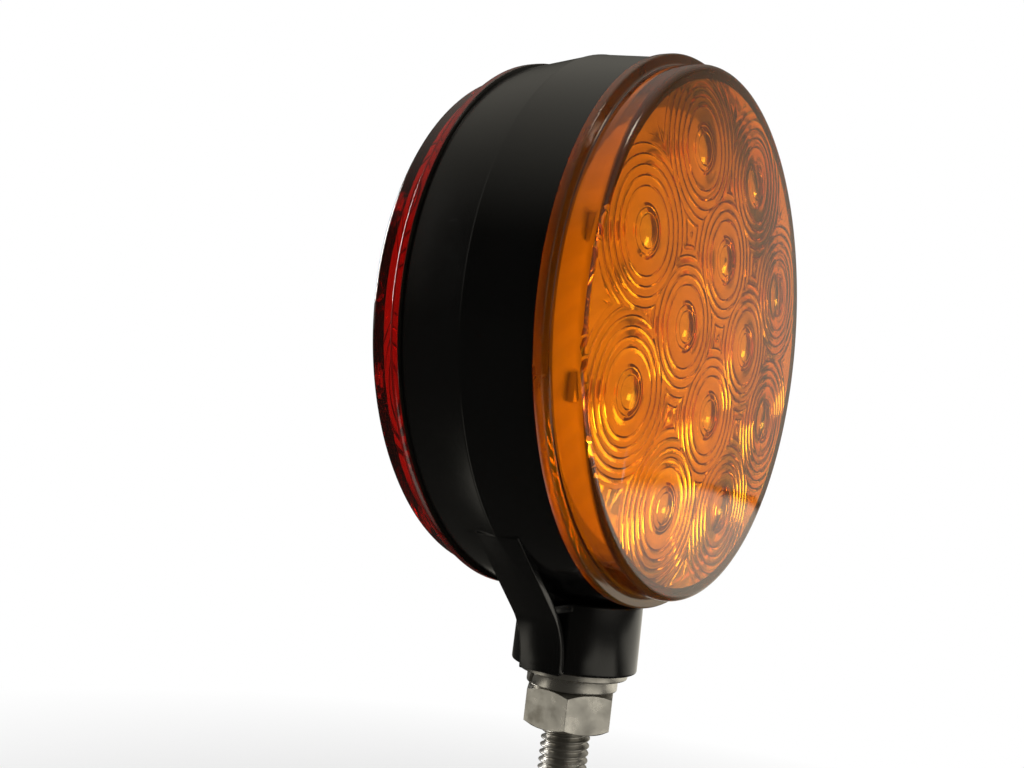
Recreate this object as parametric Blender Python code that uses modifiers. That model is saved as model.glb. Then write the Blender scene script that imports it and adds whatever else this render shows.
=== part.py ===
"""Double-face pedestal lamp for a truck or trailer fender.

A round black housing carries an amber lens on one face and a red lens on the other. Behind each lens
is a circuit board with twelve LEDs. The housing stands on a ribbed pedestal with a hollow M10 stud
moulded into its boss. The wires leave through the stud. A flat washer, a split lock washer and a hex
nut clamp the pedestal to a bracket.

Frame: metres, +Z up along the stud, origin on the stud's axis in the plane where the pedestal's base
rests on the bracket. The amber face looks along -Y and the red face along +Y.
"""

import math

import bmesh
import bpy
from mathutils import Matrix, Vector

MM = 0.001
GAP = 0.3 * MM  # clearance between neighbours that rest on or in each other
LAP = 0.5 * MM  # how far shapes that are united reach into each other
PAST = 5.0 * MM  # how far a cutter reaches past what it cuts

# Housing: a drum about the lamp's axis, which runs along Y at LAMP_Z.
LAMP_Z = 68.0 * MM
DRUM_R = 54.8 * MM  # at the parting line
DRUM_MOUTH_R = 53.4 * MM  # at the lens seats, after the moulding draft
DRUM_HALF = 13.4 * MM
DRUM_BORE_R = 50.8 * MM
PARTITION = 3.0 * MM
ROUND_STEPS = 48

# Lens, measured outward from the housing's middle plane.
FLANGE_R = 54.0 * MM
FLANGE_FRONT = 15.4 * MM
LENS_WALL = 2.2 * MM
BARREL_R = 51.7 * MM
FACE_EDGE_R = 50.2 * MM
FACE_EDGE = 21.7 * MM
FACE_CROWN = 2.0 * MM
SPIGOT = 1.6 * MM
LENS_SEAT = 0.2 * MM  # from the drum's mouth to the back of the flange
FLANGE_FOOT = 0.8 * MM  # slope between the barrel and the flange
FLANGE_CHAMFER = 0.7 * MM
INSIDE_CORNER = 2.9 * MM  # slope between the barrel and the face, on the inside

# Pedestal: a thin web with side flanges that flare from the base into the drum, round a boss.
BOSS_R = 12.7 * MM
BOSS_TOP = 13.7 * MM
WEB = 2.6 * MM
SIDE_WIDTH = 9.2 * MM
SIDE_THICK = 1.8 * MM
BASE_HALF = 14.3 * MM
FLARE_R = 15.5 * MM
FLARE_ANGLE = math.radians(47.5)
FLARE_REACH = 22.0 * MM  # straight run of the flare, which ends inside the drum
SHELF_THICK = 1.7 * MM
SEAT_R = 11.3 * MM  # shallow recess in the base for the flat washer
SEAT_DEPTH = 0.3 * MM

# Stud: M10 x 1.5, hollow for the wires, with a hexagonal head moulded into the boss.
THREAD_R = 4.95 * MM
THREAD_ROOT_R = 4.05 * MM
PITCH = 1.5 * MM
THREAD_STEPS = 20
STUD_LENGTH = 30.0 * MM
STUD_TURNS = 18
STUD_BORE_R = 2.9 * MM
HEAD_FLATS = 15.0 * MM
HEAD_BOTTOM = 3.0 * MM
HEAD_TOP = 8.0 * MM
WIRE_HOLE_R = 3.1 * MM

# Hardware on the stud.
STACK_GAP = 0.15 * MM
WASHER_R = 11.0 * MM
WASHER_THICK = 1.6 * MM
LOCK_R = 9.2 * MM
LOCK_THICK = 2.5 * MM
LOCK_SLIT = 1.2 * MM
SLIT_LEAN = math.radians(20.0)
SLIT_ANGLE = math.radians(145.0)
WASHER_BORE_R = 5.3 * MM
NUT_FLATS = 17.0 * MM
NUT_HEIGHT = 8.0 * MM
NUT_TURN = math.radians(25.0)  # where the nut's corners stand
NUT_FACE_INSET = 0.3 * MM  # of the round face within the flats
NUT_CHAMFER = math.radians(30.0)
THREAD_CLEARANCE = 0.3 * MM

# Circuit boards and what they carry.
BOARD_R = 48.6 * MM
BOARD_THICK = 1.6 * MM
BOARD_BACK = 9.5 * MM
LED_RINGS = ((36.3 * MM, 8, math.radians(22.5)), (15.2 * MM, 4, 0.0))
LED_SIDE = 5.0 * MM
LED_THICK = 1.5 * MM
LED_DOME_R = 1.9 * MM
POST_R = 3.2 * MM
POST_CIRCLE = 25.5 * MM
POST_ANGLES = (math.radians(45), math.radians(165), math.radians(285))
SCREW_R = 1.2 * MM
SCREW_HEAD_R = 2.6 * MM
SCREW_LENGTH = 6.0 * MM
SCREW_HEAD_HEIGHT = 1.6 * MM
RESISTOR = (6.3 * MM, 3.2 * MM, 0.7 * MM)
DIODE = (4.4 * MM, 2.7 * MM, 2.1 * MM)
PART_SPACING = 3.8 * MM
SOLDER = 0.1 * MM  # height of the joint under a part

# Wires.
JUMPER_AT = (-8.0 * MM, -30.0 * MM)  # where the jumper passes the partition, from the lamp's axis
JUMPER_HOLE_R = 1.6 * MM
SOLDERED_AT = -38.0 * MM  # height of the leads' upper ends, from the lamp's axis
WIRES_APART = 1.3 * MM  # of the two leads that run side by side down the red side
WIRE_R = 0.95 * MM
WIRE_SPREAD = 1.3 * MM  # of the three wires round the stud's axis
WIRE_END = LAMP_Z + DRUM_R  # the leads reach as far below the base as the drum reaches above it
TIP_R = 0.55 * MM
TIP_LENGTH = 7.0 * MM

AMBER = -1
RED = 1


def clear_scene():
    for obj in list(bpy.data.objects):
        bpy.data.objects.remove(obj, do_unlink=True)


def collection(name):
    made = bpy.data.collections.new(name)
    bpy.context.scene.collection.children.link(made)
    return made


clear_scene()
PARTS = collection("double_face_pedestal_lamp")
CUTTERS = collection("cutters")


# ---------------------------------------------------------------- materials


def material(name, colour, roughness, metallic=0.0):
    made = bpy.data.materials.new(name)
    made.use_nodes = True
    shader = made.node_tree.nodes["Principled BSDF"]
    shader.inputs["Base Color"].default_value = (*colour, 1.0)
    shader.inputs["Roughness"].default_value = roughness
    shader.inputs["Metallic"].default_value = metallic
    made.diffuse_color = (*colour, 1.0)
    return made


BLACK_PLASTIC = material("black_plastic", (0.012, 0.012, 0.012), 0.2)
AMBER_PLASTIC = material("amber_plastic", (1.0, 0.28, 0.02), 0.08)
RED_PLASTIC = material("red_plastic", (0.55, 0.01, 0.01), 0.08)
BOARD_COATING = material("board_coating", (0.8, 0.8, 0.76), 0.5)
LED_PLASTIC = material("led_plastic", (0.9, 0.75, 0.3), 0.3)
CERAMIC = material("ceramic", (0.04, 0.04, 0.04), 0.5)
ZINC = material("zinc", (0.62, 0.61, 0.57), 0.3, 1.0)
STEEL = material("steel", (0.5, 0.5, 0.5), 0.3, 1.0)
COPPER = material("tinned_copper", (0.75, 0.7, 0.62), 0.35, 1.0)
WHITE_WIRE = material("white_wire", (0.8, 0.8, 0.78), 0.45)
YELLOW_WIRE = material("yellow_wire", (0.85, 0.55, 0.03), 0.45)
RED_WIRE = material("red_wire", (0.6, 0.02, 0.02), 0.45)


# ---------------------------------------------------------------- shape helpers


def add(obj, group, finish=None):
    """Puts an object in its collection and gives it its material, or hides it if it is a cutter."""
    for old in list(obj.users_collection):
        old.objects.unlink(obj)
    group.objects.link(obj)
    if group is CUTTERS:
        obj.hide_render = True
        obj.display_type = "WIRE"
    if finish:
        obj.data.materials.clear()
        obj.data.materials.append(finish)
    return obj


def object_from(name, bm, group, finish=None):
    mesh = bpy.data.meshes.new(name)
    bm.to_mesh(mesh)
    bm.free()
    return add(bpy.data.objects.new(name, mesh), group, finish)


def smooth(obj, angle=35):
    """Smooth shading, with the edges that are sharper than an angle left sharp."""
    obj.data.shade_smooth()
    obj.data.set_sharp_from_angle(angle=math.radians(angle))
    return obj


def turned(name, profile, group, finish=None, steps=ROUND_STEPS, closed=False):
    """A turned solid about its own Z from (radius, height) points that run down its outer side."""
    bm = bmesh.new()
    points = [bm.verts.new((r, 0, h)) for r, h in profile]
    for first, second in zip(points, points[1:]):
        bm.edges.new((first, second))
    if closed:
        bm.edges.new((points[-1], points[0]))
    obj = object_from(name, bm, group, finish)
    screw = obj.modifiers.new("turn", "SCREW")
    screw.steps = steps
    screw.render_steps = steps
    screw.use_merge_vertices = True
    screw.merge_threshold = 0.01 * MM
    screw.use_smooth_shade = True
    return obj


def cylinder(name, radius, low, high, group, finish=None, steps=24):
    """An upright cylinder between two heights, its centre line on the object's own Z."""
    bm = bmesh.new()
    bmesh.ops.create_cone(
        bm,
        cap_ends=True,
        segments=steps,
        radius1=radius,
        radius2=radius,
        depth=high - low,
        matrix=Matrix.Translation((0, 0, (low + high) / 2)),
    )
    return smooth(object_from(name, bm, group, finish))


def block(name, size, centre, group, finish=None):
    bm = bmesh.new()
    place = Matrix.Translation(centre) @ Matrix.Diagonal((*size, 1.0))
    bmesh.ops.create_cube(bm, size=1.0, matrix=place)
    return object_from(name, bm, group, finish)


def slab(name, outline, thickness, group):
    """A flat outline in the XZ plane, thickened both ways along Y, as a mesh."""
    curve = bpy.data.curves.new(name, "CURVE")
    curve.dimensions = "2D"
    curve.fill_mode = "BOTH"
    curve.extrude = thickness / 2
    spline = curve.splines.new("POLY")
    spline.points.add(len(outline) - 1)
    for point, (x, z) in zip(spline.points, outline):
        point.co = (x, z, 0, 1)
    spline.use_cyclic_u = True
    drawn = bpy.data.objects.new(name + "_outline", curve)
    CUTTERS.objects.link(drawn)
    drawn.rotation_euler = (math.pi / 2, 0, 0)
    return mesh_of(drawn, name, group)


def mesh_of(drawn, name, group):
    """The curve object as a closed mesh object, with the curve removed."""
    bpy.context.view_layer.update()
    graph = bpy.context.evaluated_depsgraph_get()
    mesh = bpy.data.meshes.new_from_object(drawn.evaluated_get(graph))
    mesh.transform(drawn.matrix_world)
    bpy.data.objects.remove(drawn, do_unlink=True)
    bm = bmesh.new()
    bm.from_mesh(mesh)
    bmesh.ops.remove_doubles(bm, verts=bm.verts, dist=0.001 * MM)
    bmesh.ops.recalc_face_normals(bm, faces=bm.faces)
    bm.to_mesh(mesh)
    bm.free()
    return add(bpy.data.objects.new(name, mesh), group)


def combine(target, other, operation):
    boolean = target.modifiers.new(other.name, "BOOLEAN")
    boolean.operation = operation
    boolean.solver = "EXACT"
    boolean.object = other


def face_lamp(obj, side):
    """Turns an object built along +Z so that it looks out of one face of the lamp."""
    obj.rotation_euler = (-side * math.pi / 2, 0, 0)
    obj.location = (0, 0, LAMP_Z)
    return obj


def on_circle(radius, angle):
    return radius * math.cos(angle), radius * math.sin(angle)


# ---------------------------------------------------------------- housing


def drum():
    half = PARTITION / 2
    profile = [
        (0, half),
        (DRUM_BORE_R, half),
        (DRUM_BORE_R, DRUM_HALF),
        (DRUM_MOUTH_R, DRUM_HALF),
        (DRUM_R, 0),
        (DRUM_MOUTH_R, -DRUM_HALF),
        (DRUM_BORE_R, -DRUM_HALF),
        (DRUM_BORE_R, -half),
        (0, -half),
    ]
    obj = turned("housing", profile, PARTS, BLACK_PLASTIC)
    return face_lamp(obj, RED)


def flare(inset, reach, steps=6):
    """Points up one side of the pedestal: an arc out of the base, then a straight run into the drum."""
    centre_x = BASE_HALF + FLARE_R
    radius = FLARE_R + inset
    points = [(BASE_HALF - inset, 0)]
    for i in range(1, steps + 1):
        angle = FLARE_ANGLE * i / steps
        points.append((centre_x - radius * math.cos(angle), radius * math.sin(angle)))
    x, z = points[-1]
    points.append((x + reach * math.sin(FLARE_ANGLE), z + reach * math.cos(FLARE_ANGLE)))
    return points


def both_sides(points):
    return points + [(-x, z) for x, z in reversed(points)]


def pedestal_web():
    inset = SIDE_THICK / 2
    return slab("pedestal_web", both_sides(flare(inset, FLARE_REACH + LAP)), WEB, CUTTERS)


def pedestal_side(side):
    outer = flare(0, FLARE_REACH)
    inner = flare(SIDE_THICK, FLARE_REACH)
    outline = [(side * x, z) for x, z in outer + inner[::-1]]
    return slab(f"pedestal_side_{side}", outline, SIDE_WIDTH, CUTTERS)


def flare_x(height):
    """Half the pedestal's width at a height on the straight part of its flare."""
    straight_x = BASE_HALF + FLARE_R * (1 - math.cos(FLARE_ANGLE))
    return straight_x + (height - FLARE_R * math.sin(FLARE_ANGLE)) * math.tan(FLARE_ANGLE)


def pedestal_shelf():
    """The rib level with the boss's top, which ties the boss to the pedestal's sides."""
    half = flare_x(BOSS_TOP - SHELF_THICK) - GAP
    return block(
        "pedestal_shelf",
        (2 * half, SIDE_WIDTH, SHELF_THICK),
        (0, 0, BOSS_TOP - SHELF_THICK / 2),
        CUTTERS,
    )


def board_post(side, index, angle):
    """A post on the partition that a board rests on, with a hole for its screw."""
    x, z = on_circle(POST_CIRCLE, angle)
    low = PARTITION / 2 - LAP
    high = BOARD_BACK - GAP
    post = cylinder(f"post_{side}_{index}", POST_R, low, high, CUTTERS, steps=16)
    pilot = cylinder(
        f"pilot_{side}_{index}",
        SCREW_R + GAP,
        high - SCREW_LENGTH,
        high + PAST,
        CUTTERS,
        steps=12,
    )
    for obj in (post, pilot):
        face_lamp(obj, side)
        obj.location += Vector((x, 0, z))
    return post, pilot


def hexagon(name, flats, low, high, group, finish=None, turn=0.0):
    obj = cylinder(name, flats / math.sqrt(3), low, high, group, finish, steps=6)
    obj.data.transform(Matrix.Rotation(turn, 4, "Z"))
    return obj


def drum_interior(side):
    """Clears the space behind a lens of the pedestal's shapes, which reach into the drum."""
    name = f"drum_interior_{side}"
    low = PARTITION / 2
    high = DRUM_HALF + PAST
    clearing = cylinder(name, DRUM_BORE_R, low, high, CUTTERS, steps=ROUND_STEPS)
    return face_lamp(clearing, side)


def make_housing():
    body = drum()
    for side in (-1, 1):
        combine(body, pedestal_side(side), "UNION")
    combine(body, pedestal_web(), "UNION")
    combine(body, pedestal_shelf(), "UNION")
    boss = cylinder("boss", BOSS_R, 0, BOSS_TOP, CUTTERS, steps=ROUND_STEPS)
    combine(body, boss, "UNION")
    for side in (AMBER, RED):
        combine(body, drum_interior(side), "DIFFERENCE")
        for index, angle in enumerate(POST_ANGLES):
            post, pilot = board_post(side, index, angle)
            combine(body, post, "UNION")
            combine(body, pilot, "DIFFERENCE")
    seat = cylinder("washer_seat", SEAT_R, -PAST, SEAT_DEPTH, CUTTERS, steps=36)
    combine(body, seat, "DIFFERENCE")
    combine(body, stud_pocket(), "DIFFERENCE")
    jumper = cylinder("jumper_hole", JUMPER_HOLE_R, -PARTITION, PARTITION, CUTTERS, steps=12)
    face_lamp(jumper, RED)
    jumper.location += Vector((JUMPER_AT[0], 0, JUMPER_AT[1]))
    combine(body, jumper, "DIFFERENCE")


def stud_pocket():
    """The space that the moulded-in stud and the wires above it take out of the boss."""
    wires_top = LAMP_Z - DRUM_BORE_R + PAST
    pocket = cylinder("stud_pocket", THREAD_R + GAP, -PAST, HEAD_BOTTOM, CUTTERS, steps=24)
    head = hexagon(
        "stud_head_pocket",
        HEAD_FLATS + 2 * GAP,
        HEAD_BOTTOM - GAP,
        HEAD_TOP + GAP,
        CUTTERS,
    )
    hole = cylinder("wire_hole", WIRE_HOLE_R, HEAD_TOP, wires_top, CUTTERS, steps=20)
    combine(pocket, head, "UNION")
    combine(pocket, hole, "UNION")
    return pocket


# ---------------------------------------------------------------- lenses


def lens_profile():
    """Runs from the centre of the face out to the flange, then back inside to the centre."""
    corner = BARREL_R - FACE_EDGE_R
    crown = [(FACE_EDGE_R * i / 4, FACE_EDGE + FACE_CROWN * (1 - (i / 4) ** 2)) for i in range(5)]
    rounded = [
        (
            FACE_EDGE_R + corner * math.sin(angle),
            FACE_EDGE - corner + corner * math.cos(angle),
        )
        for angle in (math.radians(30), math.radians(60), math.radians(90))
    ]
    back = DRUM_HALF + LENS_SEAT
    flange = [
        (BARREL_R, FLANGE_FRONT + FLANGE_FOOT),
        (BARREL_R + FLANGE_FOOT, FLANGE_FRONT),
        (FLANGE_R - FLANGE_CHAMFER, FLANGE_FRONT),
        (FLANGE_R, FLANGE_FRONT - FLANGE_CHAMFER),
        (FLANGE_R, back),
    ]
    spigot_r = DRUM_BORE_R - GAP
    inner_r = spigot_r - SPIGOT
    inside_edge = FACE_EDGE - LENS_WALL
    inside = [
        (spigot_r, back),
        (spigot_r, back - SPIGOT),
        (inner_r, back - SPIGOT),
        (inner_r, inside_edge - LAP),
    ]
    under_r = inner_r - INSIDE_CORNER
    under = [
        (under_r * i / 3, inside_edge + FACE_CROWN * (1 - (i / 3) ** 2)) for i in (3, 2, 1, 0)
    ]
    return crown + rounded + flange + inside + under


def make_lens(name, side, finish):
    obj = turned(name, lens_profile(), PARTS, finish)
    return face_lamp(obj, side)


# ---------------------------------------------------------------- boards and components


def make_board(colour, side):
    board = cylinder(
        f"{colour}_circuit_board",
        BOARD_R,
        BOARD_BACK,
        BOARD_BACK + BOARD_THICK,
        PARTS,
        BOARD_COATING,
        steps=ROUND_STEPS,
    )
    face_lamp(board, side)
    for index, angle in enumerate(POST_ANGLES):
        x, z = on_circle(POST_CIRCLE, angle)
        hole = cylinder(
            f"{colour}_board_hole_{index}",
            SCREW_R + GAP,
            BOARD_BACK - PAST,
            BOARD_BACK + PAST,
            CUTTERS,
            steps=12,
        )
        face_lamp(hole, side)
        hole.location += Vector((x, 0, z))
        combine(board, hole, "DIFFERENCE")


def led_mesh(finish):
    """A square package with a domed lens on top, standing on the board's front."""
    base = BOARD_BACK + BOARD_THICK + SOLDER
    bm = bmesh.new()
    place = Matrix.Translation((0, 0, base + LED_THICK / 2))
    size = Matrix.Diagonal((LED_SIDE, LED_SIDE, LED_THICK, 1.0))
    bmesh.ops.create_cube(bm, size=1.0, matrix=place @ size)
    package = object_from("led_package", bm, CUTTERS)
    top = base + LED_THICK
    profile = [(0, top + LED_DOME_R)]
    profile.append((LED_DOME_R * math.sin(math.pi / 4), top + LED_DOME_R * math.cos(math.pi / 4)))
    profile += [(LED_DOME_R, top), (LED_DOME_R, top - LED_THICK / 2), (0, top - LED_THICK / 2)]
    dome = turned("led_dome", profile, CUTTERS, steps=8)
    combine(package, dome, "UNION")
    bpy.context.view_layer.update()
    graph = bpy.context.evaluated_depsgraph_get()
    mesh = bpy.data.meshes.new_from_object(package.evaluated_get(graph))
    mesh.materials.clear()
    mesh.materials.append(finish)
    for obj in (package, dome):
        bpy.data.objects.remove(obj, do_unlink=True)
    return mesh


def make_leds(colour, side, mesh):
    number = 1
    for radius, count, first in LED_RINGS:
        for i in range(count):
            x, z = on_circle(radius, first + i * 2 * math.pi / count)
            led = bpy.data.objects.new(f"{colour}_led_{number:02d}", mesh)
            PARTS.objects.link(led)
            face_lamp(led, side)
            led.location += Vector((x, 0, z))
            number += 1


def make_board_parts(colour, side):
    """Two resistors and a rectifier diode, in the middle of the board's back."""
    back = BOARD_BACK - SOLDER
    parts = (
        ("resistor_1", RESISTOR, PART_SPACING),
        ("resistor_2", RESISTOR, -PART_SPACING),
        ("rectifier_diode", DIODE, 0.0),
    )
    for name, size, across in parts:
        centre = (0, across, back - size[2] / 2)
        obj = block(f"{colour}_{name}", size, centre, PARTS, CERAMIC)
        face_lamp(obj, side)


def make_board_screws(colour, side):
    head_base = BOARD_BACK + BOARD_THICK + STACK_GAP
    head_top = head_base + SCREW_HEAD_HEIGHT
    profile = [
        (0, head_top),
        (SCREW_HEAD_R - SCREW_HEAD_HEIGHT / 2, head_top),
        (SCREW_HEAD_R, head_base + SCREW_HEAD_HEIGHT / 2),
        (SCREW_HEAD_R, head_base),
        (SCREW_R, head_base),
        (SCREW_R, head_base - SCREW_LENGTH),
        (0, head_base - SCREW_LENGTH - SCREW_R),
    ]
    for index, angle in enumerate(POST_ANGLES):
        x, z = on_circle(POST_CIRCLE, angle)
        screw = turned(f"{colour}_board_screw_{index + 1}", profile, PARTS, STEEL, steps=12)
        face_lamp(screw, side)
        screw.location += Vector((x, 0, z))


# ---------------------------------------------------------------- stud and hardware


def ridge(clearance):
    """(height, radius) at the corners of one thread, over one pitch that starts at a root."""
    root = THREAD_ROOT_R + clearance
    crest = THREAD_R + clearance
    return (
        (0.0, root),
        (0.25 * PITCH, root),
        (0.5625 * PITCH, crest),
        (0.6875 * PITCH, crest),
    )


def thread_column(step, low, turns, shape):
    """The (radius, height) corners of a threaded rod's section at one of its angles, bottom to top."""
    root = shape[0][1]
    points = [(root, low)]
    for turn in range(turns):
        along = turn + step / THREAD_STEPS
        fade = min(1.0, along, turns - along)
        for rise, radius in shape:
            points.append((root + fade * (radius - root), low + along * PITCH + rise))
    points.append((root, low + (turns + 1) * PITCH))
    return points


def threaded_rod(name, low, turns, clearance, group, finish=None):
    """A solid rod with one right-hand helical thread, which fades in and out over its end turns."""
    shape = ridge(clearance)
    bm = bmesh.new()
    columns = []
    for step in range(THREAD_STEPS):
        angle = 2 * math.pi * step / THREAD_STEPS
        column = []
        for radius, height in thread_column(step, low, turns, shape):
            column.append(bm.verts.new((*on_circle(radius, angle), height)))
        columns.append(column)
    for here, following in zip(columns, columns[1:]):
        for k in range(len(here) - 1):
            bm.faces.new((here[k], following[k], following[k + 1], here[k + 1]))
    # Round the last column to the first, each corner meets the one that is a turn further up.
    last, first = columns[-1], columns[0]
    corners = len(shape)
    top = len(last) - 1
    bm.faces.new((last[0], *first[: corners + 2], last[1]))
    for k in range(1, top - corners - 1):
        bm.faces.new((last[k], first[k + corners], first[k + corners + 1], last[k + 1]))
    bm.faces.new((*last[top - corners - 1 :], first[top], first[top - 1]))
    bm.faces.new([column[0] for column in columns])
    bm.faces.new([column[top] for column in columns])
    bmesh.ops.recalc_face_normals(bm, faces=bm.faces)
    bmesh.ops.triangulate(bm, faces=[face for face in bm.faces if len(face.verts) > 4])
    return object_from(name, bm, group, finish)


def make_stud():
    stud = threaded_rod("mounting_stud", -STUD_LENGTH, STUD_TURNS, 0.0, PARTS, ZINC)
    thread_top = -STUD_LENGTH + (STUD_TURNS + 1) * PITCH
    shank = cylinder(
        "stud_shank", THREAD_R, thread_top - GAP, HEAD_BOTTOM + LAP, CUTTERS, steps=THREAD_STEPS
    )
    combine(stud, shank, "UNION")
    combine(stud, hexagon("stud_head", HEAD_FLATS, HEAD_BOTTOM, HEAD_TOP, CUTTERS), "UNION")
    bore_low = -STUD_LENGTH - PAST
    bore = cylinder("stud_bore", STUD_BORE_R, bore_low, HEAD_TOP + PAST, CUTTERS, steps=20)
    combine(stud, bore, "DIFFERENCE")


def ring(name, inner, outer, low, high, finish):
    profile = [(outer, high), (outer, low), (inner, low), (inner, high)]
    return turned(name, profile, PARTS, finish, steps=36, closed=True)


def make_washers():
    """The flat washer in its seat, and the split washer under it. Returns where the nut starts."""
    top = SEAT_DEPTH - STACK_GAP
    ring("flat_washer", WASHER_BORE_R, WASHER_R, top - WASHER_THICK, top, ZINC)
    top -= WASHER_THICK + STACK_GAP
    lock = ring("lock_washer", WASHER_BORE_R, LOCK_R, top - LOCK_THICK, top, ZINC)
    middle_r = (WASHER_BORE_R + LOCK_R) / 2
    size = (2 * (LOCK_R - WASHER_BORE_R), LOCK_SLIT, 4 * LOCK_THICK)
    slit = block("lock_slit", size, (0, 0, 0), CUTTERS)
    slit.location = (*on_circle(middle_r, SLIT_ANGLE), top - LOCK_THICK / 2)
    slit.rotation_euler = (SLIT_LEAN, 0, SLIT_ANGLE)
    combine(lock, slit, "DIFFERENCE")
    return top - LOCK_THICK - STACK_GAP


def make_nut(top):
    low = top - NUT_HEIGHT
    nut = hexagon("hex_nut", NUT_FLATS, low, top, PARTS, ZINC, NUT_TURN)
    corner_r = NUT_FLATS / math.sqrt(3) + GAP
    face_r = NUT_FLATS / 2 - NUT_FACE_INSET
    drop = (corner_r - face_r) * math.tan(NUT_CHAMFER)
    profile = [
        (0, top + 0.01 * MM),
        (face_r, top + 0.01 * MM),
        (corner_r, top - drop),
        (corner_r, low + drop),
        (face_r, low - 0.01 * MM),
        (0, low - 0.01 * MM),
    ]
    combine(nut, turned("nut_chamfers", profile, CUTTERS, steps=36), "INTERSECT")
    # The nut's thread is a length of the stud's own helix, so that the two are in mesh.
    turns_below = math.floor((low + STUD_LENGTH) / PITCH) - 1
    thread_low = -STUD_LENGTH + turns_below * PITCH
    turns = math.ceil((top - thread_low) / PITCH) + 1
    thread = threaded_rod("nut_thread", thread_low, turns, THREAD_CLEARANCE, CUTTERS)
    combine(nut, thread, "DIFFERENCE")


# ---------------------------------------------------------------- wires


def smooth_path(points, per_span=3):
    """Points along a Catmull-Rom curve through the given points."""
    points = [Vector(point) for point in points]
    padded = [2 * points[0] - points[1], *points, 2 * points[-1] - points[-2]]
    path = []
    for a, b, c, d in zip(padded, padded[1:], padded[2:], padded[3:]):
        for i in range(per_span):
            t = i / per_span
            path.append(
                0.5
                * (
                    2 * b
                    + (c - a) * t
                    + (2 * a - 5 * b + 4 * c - d) * t**2
                    + (3 * b - a - 3 * c + d) * t**3
                )
            )
    return path + [points[-1]]


def wire(name, path, radius, finish):
    curve = bpy.data.curves.new(name, "CURVE")
    curve.dimensions = "3D"
    curve.bevel_depth = radius
    curve.bevel_resolution = 2
    curve.use_fill_caps = True
    spline = curve.splines.new("POLY")
    spline.points.add(len(path) - 1)
    for point, place in zip(spline.points, path):
        point.co = (*place, 1)
    return add(bpy.data.objects.new(name, curve), PARTS, finish)


def lead(name, side, across, spot, drift, finish):
    """A lead from a board's back, down through the boss and the stud, to its bare end below.

    across is its X where it runs down the partition, spot its (X, Y) in the stud, and drift how far
    its lower end has wandered from there.
    """
    top = LAMP_Z + SOLDERED_AT
    beside = side * (PARTITION / 2 + WIRE_R + 2 * GAP)
    inside = [
        (across, side * (BOARD_BACK - 2 * GAP), top),
        (across, side * (BOARD_BACK - 3 * WIRE_R), top - LAP),
        (across, beside, top - 4 * WIRE_R),
        (across, beside, top - 7 * WIRE_R),
        (spot[0], spot[1], LAMP_Z - DRUM_R + 1.5 * WIRE_R),
        (spot[0], spot[1], HEAD_BOTTOM),
        (spot[0], spot[1], -STUD_LENGTH + 2 * MM),
    ]
    start = -STUD_LENGTH - 3 * MM
    insulated = -WIRE_END + TIP_LENGTH
    outside = []
    spans = 5
    for i in range(spans + 1):
        part = i / spans
        sway = part**2 * (3 - 2 * part)
        height = start + part * (insulated - start)
        outside.append((spot[0] + drift[0] * sway, spot[1] + drift[1] * sway, height))
    wire(name, smooth_path(inside + outside), WIRE_R, finish)
    end = Vector(outside[-1])
    tip = [end - Vector((0, 0, GAP)), end - Vector((0, 0, TIP_LENGTH))]
    wire(name + "_bare_end", tip, TIP_R, COPPER)


def make_wires():
    def spot(degrees):
        return on_circle(WIRE_SPREAD, math.radians(degrees))

    lead("amber_wire", AMBER, 0.0, spot(270), (-9 * MM, -5 * MM), YELLOW_WIRE)
    lead("red_wire", RED, WIRES_APART, spot(30), (10 * MM, 3 * MM), RED_WIRE)
    lead("ground_wire", RED, -WIRES_APART, spot(150), (1 * MM, 8 * MM), WHITE_WIRE)
    x, z = JUMPER_AT
    reach = BOARD_BACK - 2 * GAP
    ends = [(x, -reach, LAMP_Z + z), (x, reach, LAMP_Z + z)]
    wire("ground_jumper", ends, WIRE_R, WHITE_WIRE)


# ---------------------------------------------------------------- assembly


def make_lamp():
    make_housing()
    for colour, side, finish in (("amber", AMBER, AMBER_PLASTIC), ("red", RED, RED_PLASTIC)):
        make_lens(f"{colour}_lens", side, finish)
        make_board(colour, side)
        make_leds(colour, side, led_mesh(LED_PLASTIC))
        make_board_parts(colour, side)
        make_board_screws(colour, side)
    make_stud()
    make_nut(make_washers())
    make_wires()


make_lamp()
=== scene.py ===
"""Looks of the double-face pedestal lamp: meshes, materials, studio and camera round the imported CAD.

The lamp's axis runs along Y. The amber face looks along -Y, the red face along +Y, and the hollow
stud points down -Z from the base plane at z = 0.
"""

import math
from itertools import combinations

import bmesh
import bpy
from mathutils import Matrix, Vector
from mathutils.geometry import delaunay_2d_cdt


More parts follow.
